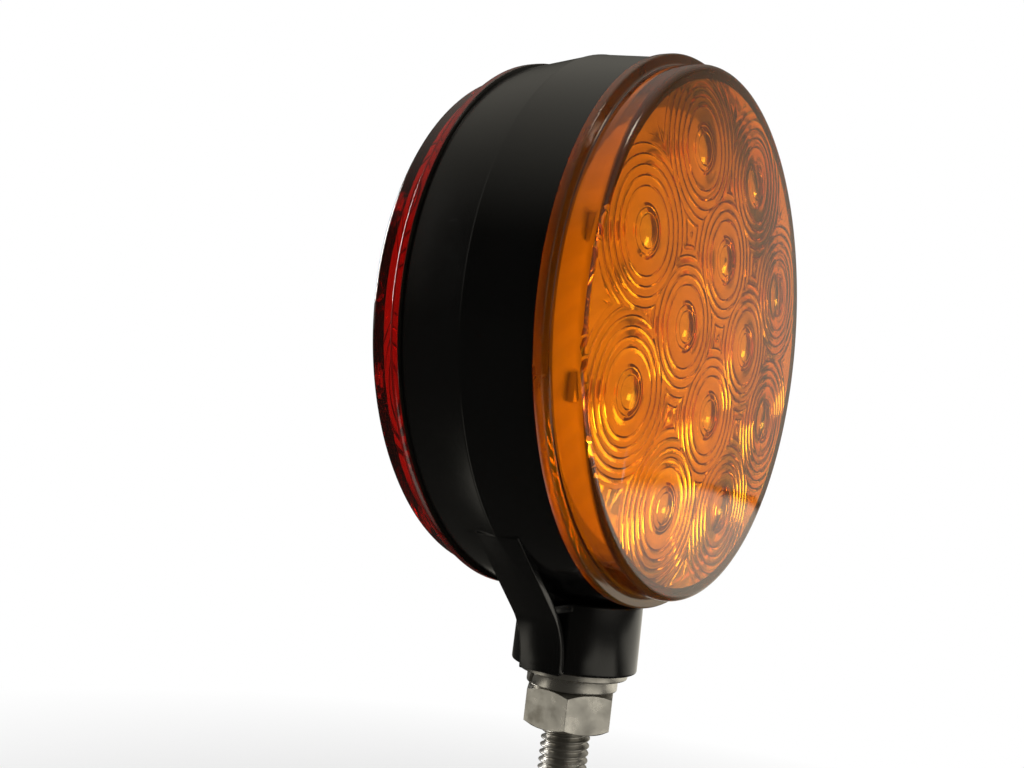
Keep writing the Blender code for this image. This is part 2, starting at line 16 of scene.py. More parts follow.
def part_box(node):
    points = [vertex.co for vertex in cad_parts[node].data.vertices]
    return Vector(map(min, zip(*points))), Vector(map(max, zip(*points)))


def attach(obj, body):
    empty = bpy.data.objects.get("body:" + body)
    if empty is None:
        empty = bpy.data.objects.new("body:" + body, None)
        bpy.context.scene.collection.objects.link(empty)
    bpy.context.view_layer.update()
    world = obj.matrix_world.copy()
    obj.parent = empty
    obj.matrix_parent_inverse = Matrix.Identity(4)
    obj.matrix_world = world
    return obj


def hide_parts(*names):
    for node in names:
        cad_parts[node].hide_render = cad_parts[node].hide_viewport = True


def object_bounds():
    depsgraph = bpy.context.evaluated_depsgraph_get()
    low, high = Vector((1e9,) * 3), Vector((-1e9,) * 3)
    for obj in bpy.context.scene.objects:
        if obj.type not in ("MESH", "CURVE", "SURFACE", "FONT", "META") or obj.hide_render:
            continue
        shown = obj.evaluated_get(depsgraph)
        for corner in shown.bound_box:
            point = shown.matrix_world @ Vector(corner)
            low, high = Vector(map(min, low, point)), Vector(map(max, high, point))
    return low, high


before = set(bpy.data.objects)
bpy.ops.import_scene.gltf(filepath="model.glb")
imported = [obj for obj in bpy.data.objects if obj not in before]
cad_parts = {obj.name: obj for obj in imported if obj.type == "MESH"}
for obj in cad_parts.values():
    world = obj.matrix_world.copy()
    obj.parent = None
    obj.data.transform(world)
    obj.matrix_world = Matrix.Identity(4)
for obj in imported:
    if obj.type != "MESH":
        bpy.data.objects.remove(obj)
CAD_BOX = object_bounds()

MM = 0.001
FULL = 2 * math.pi


# ---- sizes read from the frame


def middle(node):
    low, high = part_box(node)
    return (low + high) / 2


def span(node):
    low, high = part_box(node)
    return high - low


def ends(node):
    low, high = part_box(node)
    return low.z, high.z


LAMP = middle("amber_circuit_board")
LAMP.y = 0.0
DRUM_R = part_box("housing")[1].z - LAMP.z
DRUM_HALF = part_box("housing")[1].y
FLANGE_R = span("amber_lens").x / 2
FACE_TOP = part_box("red_lens")[1].y
BOARD_R = span("amber_circuit_board").x / 2
BOARD_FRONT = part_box("red_circuit_board")[1].y
BOARD_THICK = span("amber_circuit_board").y
LED_SIDE = span("amber_led_01").x
STUD_END, STUD_HEAD_TOP = ends("mounting_stud")
WASHER_R = span("flat_washer").x / 2
LOCK_R = span("lock_washer").x / 2

# ---- sizes the frame doesn't give

# Drum
MOUTH_R = DRUM_R - 1.4 * MM
BORE_R = 50.8 * MM
PARTITION = 3.0 * MM
SHAVE = 0.02 * MM  # how much wider the room behind a lens is cut than it is drawn
BEAD_RISE = 0.07 * MM
BEAD_HALF = 0.22 * MM
LIP_ROUND = 0.35 * MM

# Pedestal
BOSS_R = 12.7 * MM
BOSS_TOP = 13.7 * MM
WEB = 2.6 * MM
SIDE_WIDTH = 9.2 * MM
SIDE_THICK = 1.8 * MM
BASE_HALF = 14.3 * MM
FLARE_R = 15.5 * MM
FLARE_ANGLE = math.radians(47.5)
FLARE_REACH = 22.0 * MM  # straight run of the flare, which ends inside the drum
SHELF_THICK = 1.7 * MM
SEAT_R = 11.3 * MM
SEAT_DEPTH = 0.3 * MM
POST_R = 3.2 * MM
POST_TOP = 9.2 * MM
PILOT_R = 1.5 * MM
PILOT_FLOOR = 3.2 * MM
WIRE_HOLE_R = 3.1 * MM
JUMPER_HOLE_R = 1.6 * MM

# Lens
LENS_SEAT = 0.2 * MM  # from the drum's mouth to the back of the flange
FLANGE_FRONT = 15.4 * MM
FLANGE_ROUND = 0.45 * MM
FLANGE_FOOT = 0.7 * MM
BARREL_R = 51.7 * MM
FACE_EDGE = FACE_TOP - 2.0 * MM
FACE_ROUND = 1.5 * MM
FACE_CROWN = 2.0 * MM
WALL = 2.2 * MM
SPIGOT_R = 50.5 * MM
SPIGOT = 1.6 * MM
SPIGOT_EASE = 0.2 * MM
OPTIC_R = 48.9 * MM

# Ring optics on the inside of the face, one set over each LED
BULLSEYE_R = 4.9 * MM
BULLSEYE_RISE = -1.3 * MM
BULLSEYE_BEADS = (0.62, 0.85)  # where fine raised lines run, as shares of its radius
BEAD_WIDE = 0.16 * MM
BEAD_HIGH = 0.1 * MM
FIRST_RING_R = 7.7 * MM
RING_PITCH = 1.8 * MM
RING_RISE = 0.14 * MM
RINGS = 6
RING_STEPS = 80
NEAR = 1e-4  # mm, within which places on a drawing count as level

# Stud, nut and washers
THREAD_R = 4.95 * MM
THREAD_ROOT_R = 4.05 * MM
PITCH = 1.5 * MM
STUD_TURNS = 18
STUD_BORE_R = 2.9 * MM
STUD_CLEARANCE = 0.3 * MM  # round the stud and its head in the boss
HEAD_FLATS = 15.0 * MM
HEAD_BOTTOM = 3.0 * MM
WASHER_BORE_R = 5.3 * MM
SLIT_ANGLE = math.radians(145.0)
SLIT_LEAN = math.radians(20.0)
SLIT_HALF = 0.6 * MM
NUT_FLATS = 17.0 * MM
NUT_TURN = math.radians(25.0)
NUT_CHAMFER = math.radians(30.0)
NUT_FACE_INSET = 0.3 * MM
THREAD_CLEARANCE = 0.3 * MM

# Boards and what they carry
SOLDER = 0.1 * MM  # height of the joint under a part
SHADED_RIM_R = 44.2 * MM  # where painted shade next to the drum's wall turns the boards dark
SHADE_FROM_R = 33.0 * MM  # where painted shade, darkening the boards towards the drum's wall, begins
LED_THICK = 1.5 * MM
DOME_R = 1.88 * MM
SCREW_SEAT = 0.15 * MM
SCREW_HEAD_R = 2.6 * MM
SCREW_HEAD_HEIGHT = 1.6 * MM
SCREW_R = 1.2 * MM
SCREW_LENGTH = 6.0 * MM
RECESS = (2.9 * MM, 0.6 * MM, 2.0 * MM)  # one arm of the screws' cross
RECESS_TURN = 0.3

# Wires
WIRE_R = 0.95 * MM
WIRE_EASE = 0.12 * MM
WIRE_SPREAD = 1.3 * MM
WIRES_APART = 1.3 * MM  # of the two leads that run side by side down the red side
SOLDERED_AT = -38.0 * MM  # height of the leads' upper ends, from the lamp's axis
WIRE_FREE = 0.6 * MM  # between a lead and the board or the partition
STRAND_R = 0.17 * MM
STRAND_LAY = 0.36 * MM  # distance of the outer strands from the middle one
STRAND_TWIST = 2.2 * math.pi

SIDES = (("amber", -1), ("red", 1))


# ---- node helpers


class Nodes:
    """Short ways to add and join a material's nodes."""

    def __init__(self, tree):
        self.tree = tree
        tree.nodes.clear()

    def join(self, target, value):
        """Links a socket or a node's first output to an input, or sets the input to a value."""
        if isinstance(value, bpy.types.Node):
            value = value.outputs[0]
        if isinstance(value, bpy.types.NodeSocket):
            self.tree.links.new(value, target)
        elif target.type == "RGBA" and len(value) == 3:
            target.default_value = (*value, 1.0)
        else:
            target.default_value = value

    def fill(self, node, **inputs):
        for key, value in inputs.items():
            self.join(node.inputs[key.replace("_", " ")], value)

    def add(self, kind, settings=None, **inputs):
        node = self.tree.nodes.new(kind)
        for key, value in (settings or {}).items():
            setattr(node, key, value)
        self.fill(node, **inputs)
        return node

    def operate(self, kind, operation, *values):
        node = self.add(kind, {"operation": operation})
        for target, value in zip(node.inputs, values):
            self.join(target, value)
        return node

    def math(self, operation, *values):
        return self.operate("ShaderNodeMath", operation, *values).outputs[0]

    def plus(self, a, b):
        return self.math("ADD", a, b)

    def times(self, a, b):
        return self.math("MULTIPLY", a, b)

    def vector(self, operation, *values):
        return self.operate("ShaderNodeVectorMath", operation, *values)

    def place(self, scale=(1, 1, 1), rotation=(0, 0, 0)):
        """Object coordinates in metres, stretched and turned."""
        where = self.add("ShaderNodeTexCoord").outputs["Object"]
        return self.add("ShaderNodeMapping", Vector=where, Scale=scale, Rotation=rotation)

    def axes(self):
        return self.add("ShaderNodeSeparateXYZ", Vector=self.place()).outputs

    def noise(self, scale, detail=3.0, rough=0.5, place=None):
        inputs = {"Scale": scale, "Detail": detail, "Roughness": rough}
        where = place or self.place()
        return self.add("ShaderNodeTexNoise", Vector=where, **inputs).outputs["Fac"]

    def spots(self, scale):
        node = self.add("ShaderNodeTexVoronoi", Vector=self.place(), Scale=scale)
        return node.outputs["Distance"]

    def span(self, value, low, high, to_low=0.0, to_high=1.0):
        """Maps one range to another, and stays inside the second."""
        node = self.add("ShaderNodeMapRange", {"clamp": True}, Value=value)
        self.fill(node, From_Min=low, From_Max=high, To_Min=to_low, To_Max=to_high)
        return node.outputs[0]

    def mix(self, factor, a, b):
        node = self.add("ShaderNodeMix", {"data_type": "RGBA"}, Factor=factor)
        for target, value in zip([s for s in node.inputs if s.type == "RGBA"], (a, b)):
            self.join(target, value)
        return next(s for s in node.outputs if s.type == "RGBA")

    def either(self, factor, first, second):
        """The first shader where the factor is nought, the second where it is one."""
        node = self.add("ShaderNodeMixShader", Fac=factor)
        self.join(node.inputs[1], first)
        self.join(node.inputs[2], second)
        return node

    def bump(self, height, strength, distance, normal=None):
        node = self.add("ShaderNodeBump", Strength=strength, Distance=distance, Height=height)
        if normal is not None:
            self.fill(node, Normal=normal)
        return node.outputs["Normal"]

    def soft_edges(self, radius):
        return self.add("ShaderNodeBevel", {"samples": 4}, Radius=radius).outputs["Normal"]


def blank_material(name):
    made = bpy.data.materials.new(name)
    made.use_nodes = True
    nodes = Nodes(made.node_tree)
    return made, nodes, nodes.add("ShaderNodeOutputMaterial")


def new_material(name):
    made, nodes, output = blank_material(name)
    shader = nodes.add("ShaderNodeBsdfPrincipled")
    nodes.fill(output, Surface=shader)
    return made, nodes, shader, output


# ---- materials

LENS_DENSITY = 350.0  # per metre, of the colour that thick plastic soaks up


def black_plastic():
    """Glossy moulded ABS with a slight orange peel, rubbed patches, hairlines and dust."""
    made, nodes, shader, _ = new_material("lamp_black_plastic")
    peel = nodes.noise(420, 2.0)
    rubbed = nodes.noise(110, 4.0, 0.6)
    hairs = nodes.noise(1400, 2.0, 0.5, nodes.place((1.0, 0.04, 1.0), (0.3, 0.5, 0.2)))
    hair = nodes.span(hairs, 0.68, 0.72)
    dust = nodes.span(nodes.spots(1100), 0.04, 0.08, 1.0, 0.0)
    rough = nodes.plus(nodes.span(rubbed, 0.3, 0.75, 0.15, 0.2), nodes.times(hair, 0.05))
    base = nodes.mix(rubbed, (0.0024, 0.0024, 0.0024), (0.0034, 0.0033, 0.0031))
    base = nodes.mix(nodes.times(dust, 0.1), base, (0.1, 0.095, 0.085))
    normal = nodes.bump(peel, 0.04, 0.25 * MM, nodes.soft_edges(0.35 * MM))
    normal = nodes.bump(hair, 0.04, 0.03 * MM, normal)
    nodes.fill(shader, Base_Color=base, Roughness=rough, Normal=normal, IOR=1.5)
    return made


def lens_plastic(name, tint, shallow, soak):
    """Clear tinted plastic. Lamps shine through it, tinted, so that the inside is lit."""
    made, nodes, shader, output = new_material(name)
    cloud = nodes.noise(45, 3.0)
    wipe = nodes.noise(300, 2.0, 0.5, nodes.place((1.0, 1.0, 0.06), (0.0, 0.4, 0.0)))
    hair = nodes.span(wipe, 0.68, 0.72)
    rough = nodes.plus(nodes.span(cloud, 0.3, 0.8, 0.04, 0.09), nodes.times(hair, 0.08))
    colour = nodes.mix(nodes.span(cloud, 0.3, 0.7), tint, shallow)
    normal = nodes.bump(nodes.noise(160, 2.0), 0.05, 0.3 * MM)
    normal = nodes.bump(hair, 0.05, 0.05 * MM, normal)
    nodes.fill(shader, Base_Color=colour, Roughness=rough, Normal=normal)
    nodes.fill(shader, IOR=1.55, Transmission_Weight=0.98)
    once = nodes.add("ShaderNodeGamma", Color=colour, Gamma=0.5)
    clear = nodes.add("ShaderNodeBsdfTransparent", Color=once)
    path = nodes.add("ShaderNodeLightPath").outputs
    passing = nodes.math("MAXIMUM", path["Is Shadow Ray"], path["Is Diffuse Ray"])
    body = nodes.add("ShaderNodeVolumeAbsorption", Color=soak, Density=LENS_DENSITY)
    nodes.fill(output, Surface=nodes.either(passing, shader, clear), Volume=body)
    return made


def metal(name, bright, dull, low, high, grain):
    """Plated steel: cloudy plating, fine grain, small stains and softened edges."""
    made, nodes, shader, _ = new_material(name)
    cloud = nodes.noise(180, 4.0, 0.6)
    fine = nodes.noise(grain, 2.0, 0.6)
    stain = nodes.span(nodes.noise(90, 5.0, 0.65), 0.58, 0.72)
    base = nodes.mix(nodes.span(cloud, 0.3, 0.7), bright, dull)
    base = nodes.mix(nodes.times(stain, 0.35), base, (0.30, 0.25, 0.17))
    rough = nodes.span(cloud, 0.3, 0.75, low, high)
    normal = nodes.bump(fine, 0.15, 0.04 * MM, nodes.soft_edges(0.12 * MM))
    nodes.fill(shader, Base_Color=base, Roughness=rough, Normal=normal, Metallic=1.0)
    return made


def simple_plastic(name, light, dark, rough, scale=250.0, wear=0.04):
    """Matt or glossy moulded plastic with a mottled colour, uneven gloss and a fine bump."""
    made, nodes, shader, _ = new_material(name)
    mottle = nodes.noise(scale, 3.0)
    base = nodes.mix(nodes.span(mottle, 0.35, 0.65), light, dark)
    uneven = nodes.span(nodes.noise(scale * 0.4, 3.0), 0.3, 0.7, rough - wear, rough + wear)
    normal = nodes.bump(nodes.noise(scale * 6, 2.0), 0.12, 0.03 * MM)
    nodes.fill(shader, Base_Color=base, Roughness=uneven, Normal=normal)
    return made


def board_coating():
    """White solder mask over copper, with the traces' relief, darkened outward by painted shade near the
    drum's wall down to a dark rim.
    """
    made, nodes, shader, _ = new_material("lamp_board_coating")
    place = nodes.place()
    across = nodes.vector("MULTIPLY_ADD", place, Vector((1, 0, 1)), Vector((0, 0, -LAMP.z)))
    reach = nodes.vector("LENGTH", across).outputs["Value"]
    wave = nodes.add("ShaderNodeTexWave", {"wave_type": "RINGS", "rings_direction": "Y"})
    nodes.fill(wave, Vector=place, Scale=60.0, Distortion=0.6)
    trace = nodes.span(wave.outputs["Fac"], 0.44, 0.5)
    dirt = nodes.noise(70, 4.0)
    base = nodes.mix(nodes.times(trace, 0.5), (0.62, 0.62, 0.58), (0.5, 0.51, 0.47))
    base = nodes.mix(nodes.span(dirt, 0.55, 0.8, 0.0, 0.3), base, (0.5, 0.45, 0.36))
    # Painted shade: the coating grows darker towards the drum's wall.
    painted_shade = nodes.span(reach, SHADE_FROM_R, SHADED_RIM_R, 0.0, 0.55)
    base = nodes.mix(painted_shade, base, (0.20, 0.18, 0.11))
    # Painted shade: a dark rim on the boards next to the drum's wall.
    painted_dark_rim = nodes.span(reach, SHADED_RIM_R, SHADED_RIM_R + 0.3 * MM)
    base = nodes.mix(painted_dark_rim, base, (0.10, 0.10, 0.06))
    rough = nodes.span(dirt, 0.3, 0.7, 0.32, 0.5)
    normal = nodes.bump(trace, 0.4, 0.05 * MM)
    nodes.fill(shader, Base_Color=base, Roughness=rough, Normal=normal)
    return made


def insulation(name, light, dark):
    """Drawn PVC insulation: faint lengthwise lines, scuffs and a waxy gloss."""
    made, nodes, shader, _ = new_material(name)
    drawn = nodes.noise(900, 2.0, 0.5, nodes.place((1, 1, 0.03)))
    scuff = nodes.span(nodes.noise(160, 5.0, 0.65), 0.55, 0.75)
    base = nodes.mix(nodes.span(drawn, 0.3, 0.7, 0.0, 0.6), light, dark)
    base = nodes.mix(nodes.times(scuff, 0.25), base, (0.25, 0.22, 0.2))
    rough = nodes.span(scuff, 0.0, 1.0, 0.34, 0.55)
    normal = nodes.bump(drawn, 0.12, 0.03 * MM)
    nodes.fill(shader, Base_Color=base, Roughness=rough, Normal=normal)
    nodes.fill(shader, Subsurface_Weight=0.08, Subsurface_Radius=(0.001, 0.0006, 0.0004))
    return made


def silicone_dome():
    """The LED's yellow-tinted dome over its phosphor."""
    made, nodes, shader, _ = new_material("lamp_led_dome")
    cloud = nodes.noise(900, 2.0)
    base = nodes.mix(nodes.span(cloud, 0.3, 0.7), (0.85, 0.55, 0.08), (0.75, 0.42, 0.05))
    rough = nodes.span(cloud, 0.3, 0.7, 0.08, 0.16)
    nodes.fill(shader, Base_Color=base, Roughness=rough, Coat_Weight=0.6)
    return made


BLACK = black_plastic()
AMBER_LENS = lens_plastic("lamp_amber_lens", (1.0, 0.56, 0.03), (1.0, 0.62, 0.04), (0.985, 0.72, 0.15))
RED_LENS = lens_plastic("lamp_red_lens", (0.72, 0.09, 0.045), (0.78, 0.11, 0.055), (0.82, 0.2, 0.15))
SEAL = simple_plastic("lamp_lens_seal", (0.014, 0.012, 0.008), (0.008, 0.007, 0.005), 0.3)
ZINC = metal("lamp_zinc_plate", (0.66, 0.64, 0.60), (0.50, 0.485, 0.45), 0.22, 0.42, 5000.0)
STEEL = metal("lamp_steel_screw", (0.62, 0.61, 0.6), (0.45, 0.45, 0.45), 0.2, 0.35, 6000.0)
TIN = metal("lamp_tinned_copper", (0.78, 0.74, 0.68), (0.62, 0.52, 0.42), 0.25, 0.45, 7000.0)
BOARD = board_coating()
CERAMIC = simple_plastic("lamp_component_body", (0.03, 0.03, 0.032), (0.016, 0.016, 0.017), 0.5)
LED_BODY = simple_plastic("lamp_led_plastic", (0.82, 0.8, 0.72), (0.74, 0.7, 0.6), 0.35)
LED_DOME = silicone_dome()
YELLOW = insulation("lamp_yellow_insulation", (0.86, 0.55, 0.03), (0.72, 0.42, 0.02))
RED_WIRE = insulation("lamp_red_insulation", (0.62, 0.025, 0.02), (0.45, 0.015, 0.015))
WHITE = insulation("lamp_white_insulation", (0.80, 0.79, 0.75), (0.68, 0.66, 0.60))


# ---- mesh helpers


def polar(radius, angle, height=0.0):
    return radius * math.cos(angle), radius * math.sin(angle), height


def heading(angle):
    return Vector((math.cos(angle), math.sin(angle)))


def arc(centre, radius, start, end, steps):
    """Points round part of a circle, angles in degrees."""
    points = []
    for i in range(steps + 1):
        x, y, _ = polar(radius, math.radians(start + (end - start) * i / steps))
        points.append((centre[0] + x, centre[1] + y))
    return points


def eased(points, radius, steps=4, closed=False):
    """The outline with its corners rounded to a radius, or less where a side is short."""
    rounded = []
    last = len(points) - 1
    for i, corner in enumerate(points):
        here = Vector(corner)
        before = Vector(points[i - 1]) - here
        after = Vector(points[(i + 1) % len(points)]) - here
        if not closed and i in (0, last) or before.angle(after) > math.radians(172):
            rounded.append(corner)
            continue
        cut = radius / math.tan(before.angle(after) / 2)
        cut = min(cut, 0.45 * before.length, 0.45 * after.length)
        start = here + before.normalized() * cut
        end = here + after.normalized() * cut
        for k in range(steps + 1):
            t = k / steps
            point = (1 - t) ** 2 * start + 2 * t * (1 - t) * here + t**2 * end
            rounded.append((point.x, point.y))
    return rounded


def regular_angles(count):
    return [FULL * i / count for i in range(count)]


def lathe(bm, profile, angles, closed):
    """Turns (radius, height) points about Z. A point on the axis becomes one vertex."""
    rings = []
    for radius, height in profile:
        if radius < 1e-7:
            rings.append([bm.verts.new((0, 0, height))] * len(angles))
        else:
            rings.append([bm.verts.new(polar(radius, a, height)) for a in angles])
    pairs = list(zip(rings, rings[1:]))
    if closed:
        pairs.append((rings[-1], rings[0]))
    for lower, upper in pairs:
        for i in range(len(angles)):
            j = (i + 1) % len(angles)
            corners = list(dict.fromkeys((lower[i], lower[j], upper[j], upper[i])))
            if len(corners) > 2:
                bm.faces.new(corners)
    return rings


def skin(bm, loops, capped=True):
    """Faces between neighbouring loops of vertices, and over the first and last loop."""
    for here, following in zip(loops, loops[1:]):
        for k in range(len(here)):
            n = (k + 1) % len(here)
            bm.faces.new((here[k], following[k], following[n], here[n]))
    if capped:
        bm.faces.new(loops[0])
        bm.faces.new(loops[-1])


def bevelled(bm, edges, offset, segments):
    sizes = {"offset": offset, "segments": segments, "profile": 0.5, "clamp_overlap": True}
    bmesh.ops.bevel(bm, geom=edges, offset_type="OFFSET", affect="EDGES", **sizes)


def outward(bm):
    """Turns the faces outward, unless they look outward already."""
    if all(edge.is_contiguous for edge in bm.edges) and bm.calc_volume(signed=True) > 0:
        return
    bmesh.ops.recalc_face_normals(bm, faces=bm.faces)
    if bm.calc_volume(signed=True) < 0:
        bmesh.ops.reverse_faces(bm, faces=bm.faces)


def mesh_from(name, bm):
    mesh = bpy.data.meshes.new(name)
    bm.to_mesh(mesh)
    bm.free()
    return mesh


def append(bm, part, material=0):
    """Adds a closed part to a mesh that is being built."""
    outward(part)
    for face in part.faces:
        face.material_index = material
    mesh = mesh_from("part", part)
    bm.from_mesh(mesh)
    bpy.data.meshes.remove(mesh)


def add_block(bm, size, centre, bevel, material=0, segments=2, turn=None):
    """Adds a block with its edges rounded."""
    part = bmesh.new()
    place = Matrix.Translation(centre) @ (turn or Matrix()) @ Matrix.Diagonal((*size, 1.0))
    bmesh.ops.create_cube(part, size=1.0, matrix=place)
    if bevel:
        bevelled(part, list(part.edges), bevel, segments)
    append(bm, part, material)


def added(name, data):
    obj = bpy.data.objects.new(name, data)
    bpy.context.scene.collection.objects.link(obj)
    return obj


def link(name, mesh, materials, sharp=30.0):
    """An object whose faces are smooth apart from edges sharper than an angle."""
    for finish in materials:
        mesh.materials.append(finish)
    mesh.shade_smooth()
    mesh.set_sharp_from_angle(angle=math.radians(sharp))
    return added(name, mesh)


def object_from(name, bm, materials, sharp=30.0):
    outward(bm)
    return link(name, mesh_from(name, bm), materials, sharp)


def cutter(bm):
    bmesh.ops.recalc_face_normals(bm, faces=bm.faces)
    return added("cutter", mesh_from("cutter", bm))


def carved(name, base, steps, materials, sharp=30.0):
    """Unites bmesh shapes with a base or cuts them from it, in order, as one new mesh."""
    body = cutter(base)
    tools = []
    for operation, bm in steps:
        tools.append(cutter(bm))
        boolean = body.modifiers.new(operation, "BOOLEAN")
        boolean.operation = operation
        boolean.solver = "EXACT"
        boolean.object = tools[-1]
    bpy.context.view_layer.update()
    graph = bpy.context.evaluated_depsgraph_get()
    mesh = bpy.data.meshes.new_from_object(body.evaluated_get(graph))
    for obj in (body, *tools):
        bpy.data.objects.remove(obj, do_unlink=True)
    tidy = bmesh.new()
    tidy.from_mesh(mesh)
    bpy.data.meshes.remove(mesh)
    bmesh.ops.remove_doubles(tidy, verts=tidy.verts, dist=0.002 * MM)
    bmesh.ops.dissolve_degenerate(tidy, edges=tidy.edges, dist=0.002 * MM)
    gaps = [edge for edge in tidy.edges if edge.is_boundary]
    bmesh.ops.holes_fill(tidy, edges=gaps, sides=0)
    return object_from(name, tidy, materials, sharp)


def turned(profile, steps=96, closed=True, place=None):
    bm = bmesh.new()
    lathe(bm, profile, regular_angles(steps), closed)
    if place is not None:
        bm.transform(place)
    outward(bm)
    return bm


def rod(radius, low, high, steps=48, place=None, ease=0.0):
    profile = [(0, low), (radius, low), (radius, high), (0, high)]
    return turned(eased(profile, ease) if ease else profile, steps, False, place)


def hexagon(flats, low, high, turn=0.0):
    bm = bmesh.new()
    corner = flats / math.sqrt(3)
    profile = [(0, low), (corner, low), (corner, high), (0, high)]
    lathe(bm, profile, [turn + a for a in regular_angles(6)], False)
    return bm


def looking(side):
    """Turns what is built along +Z round the lamp's axis, to look out of one face."""
    return Matrix.Translation(LAMP) @ Matrix.Rotation(-side * math.pi / 2, 4, "X")


def over(node, side):
    """The same, moved to stand over a CAD node."""
    shift = middle(node) - LAMP
    return Matrix.Translation((shift.x, 0, shift.z)) @ looking(side)


def finished(obj, node, body="lamp"):
    """Puts a piece in place of a CAD node, riding on its body."""
    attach(obj, body)
    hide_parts(node)


# ---- housing


def drum():
    """The drum: two drafted halves that meet at a fine moulding bead, and the wall between the lamps."""
    wall = PARTITION / 2
    shoulder = DRUM_R - (DRUM_R - MOUTH_R) / DRUM_HALF * BEAD_HALF * 2
    upper = [(BORE_R, DRUM_HALF), (MOUTH_R, DRUM_HALF), (shoulder, 2 * BEAD_HALF), (DRUM_R, BEAD_HALF)]
    lower = [(radius, -height) for radius, height in reversed(upper)]
    outline = eased([*upper, (DRUM_R + BEAD_RISE, 0), *lower, (BORE_R, -wall)], LIP_ROUND, 3)
    edge = BORE_R - 1 * MM
    profile = [(0, wall), (edge, wall), (BORE_R, wall), *outline, (edge, -wall), (0, -wall)]
    return turned(profile, 192, False, looking(1))


def flare(inset, reach, steps=16):
    """Points up one side of the pedestal: an arc out of the base, then a straight run into the drum."""
    points = [(BASE_HALF - inset, 0)]
    for i in range(1, steps + 1):
        x, z, _ = polar(FLARE_R + inset, FLARE_ANGLE * i / steps)
        points.append((BASE_HALF + FLARE_R - x, z))
    x, z = points[-1]
    points.append((x + reach * math.sin(FLARE_ANGLE), z + reach * math.cos(FLARE_ANGLE)))
    return points


def slab(outline, thickness, bevel=0.0):
    """A flat outline in the XZ plane, thickened both ways along Y, its long edges rounded."""
    bm = bmesh.new()
    face = bm.faces.new([bm.verts.new((x, -thickness / 2, z)) for x, z in outline])
    made = bmesh.ops.extrude_face_region(bm, geom=[face])
    moved = [v for v in made["geom"] if isinstance(v, bmesh.types.BMVert)]
    bmesh.ops.translate(bm, verts=moved, vec=(0, thickness, 0))
    bmesh.ops.recalc_face_normals(bm, faces=bm.faces)
    if bevel:
        rims = [e for e in bm.edges if abs(e.verts[0].co.y - e.verts[1].co.y) < 1e-6]
        bevelled(bm, rims, bevel, 3)
    return bm


def pedestal_side(side):
    outline = flare(0, FLARE_REACH) + flare(SIDE_THICK, FLARE_REACH + 1 * MM)[::-1]
    return slab([(side * x, z) for x, z in outline], SIDE_WIDTH, 0.35 * MM)


def pedestal_web():
    half = flare(0.3 * MM, FLARE_REACH + 2 * MM)
    return slab(half + [(-x, z) for x, z in reversed(half)], WEB)


def pedestal_shelf():
    """The floor of the web's pocket, level with the boss, from one side to the other."""
    straight_x = BASE_HALF + FLARE_R * (1 - math.cos(FLARE_ANGLE))
    straight_z = FLARE_R * math.sin(FLARE_ANGLE)
    edge_x = straight_x + (BOSS_TOP - SHELF_THICK - straight_z) * math.tan(FLARE_ANGLE)
    size = (2 * (edge_x - 0.4 * MM), SIDE_WIDTH - 0.4 * MM, SHELF_THICK)
    bm = bmesh.new()
    add_block(bm, size, (0, 0, BOSS_TOP - SHELF_THICK / 2), 0.3 * MM)
    return bm


def boss():
    profile = [(0, 0), (BOSS_R, 0), (BOSS_R - 0.15 * MM, BOSS_TOP), (0, BOSS_TOP)]
    return turned(eased(profile, 0.5 * MM), 128, False)


def post_places(side):
    return [over(f"amber_board_screw_{number}", side) for number in (1, 2, 3)]


def make_housing():
    unions = [pedestal_side(-1), pedestal_side(1), pedestal_web(), pedestal_shelf(), boss()]
    steps = [("UNION", shape) for shape in unions]
    for _, side in SIDES:
        low = PARTITION / 2 - SHAVE
        room = rod(BORE_R + SHAVE, low, DRUM_HALF + 8 * MM, 192, looking(side))
        steps.append(("DIFFERENCE", room))
        low = PARTITION / 2 - 0.5 * MM
        for place in post_places(side):
            steps.append(("UNION", rod(POST_R, low, POST_TOP, 32, place, 0.2 * MM)))
        for place in post_places(side):
            steps.append(("DIFFERENCE", rod(PILOT_R, PILOT_FLOOR, POST_TOP + 1 * MM, 24, place)))
    head_low, head_high = HEAD_BOTTOM - STUD_CLEARANCE, STUD_HEAD_TOP + STUD_CLEARANCE
    cuts = [
        rod(SEAT_R, -5 * MM, SEAT_DEPTH, 96),
        rod(THREAD_R + STUD_CLEARANCE, -5 * MM, 5 * MM, 64),
        hexagon(HEAD_FLATS + 2 * STUD_CLEARANCE, head_low, head_high),
        rod(WIRE_HOLE_R, 7 * MM, LAMP.z - BORE_R + 6 * MM, 40),
        rod(JUMPER_HOLE_R, -3 * MM, 3 * MM, 24, over("ground_jumper", 1)),
    ]
    steps += [("DIFFERENCE", shape) for shape in cuts]
    housing = carved("housing_moulding", drum(), steps, [BLACK], 35)
    finished(housing, "housing")


# ---- lenses


def outer_height(radius):
    """Height of the face's smooth outer side, which is crowned."""
    edge = BARREL_R - FACE_ROUND
    return FACE_EDGE + FACE_CROWN * (1 - (radius / edge) ** 2)


def optic_knots():
    """Distances from an LED's axis, with the height of the optics there over the wall's inner side.

    A hollow bullseye, then gently crowned rings with a fine raised line between neighbours.
    """
    shares = [(share, 0.0) for share in (0.0, 0.2, 0.4, 0.73, 1.0)]
    half = BEAD_WIDE / BULLSEYE_R
    for bead in BULLSEYE_BEADS:
        shares += [(bead - half, 0.0), (bead, BEAD_HIGH), (bead + half, 0.0)]
    knots = [(BULLSEYE_R * s, BULLSEYE_RISE * (1 - s**2) + bead) for s, bead in sorted(shares)]
    inner = BULLSEYE_R
    for ring in range(RINGS):
        outer = FIRST_RING_R + ring * RING_PITCH
        knots += [(inner + BEAD_WIDE, 0.0), ((inner + outer) / 2, RING_RISE)]
        knots += [(outer - BEAD_WIDE, 0.0), (outer, BEAD_HIGH)]
        inner = outer
    return knots


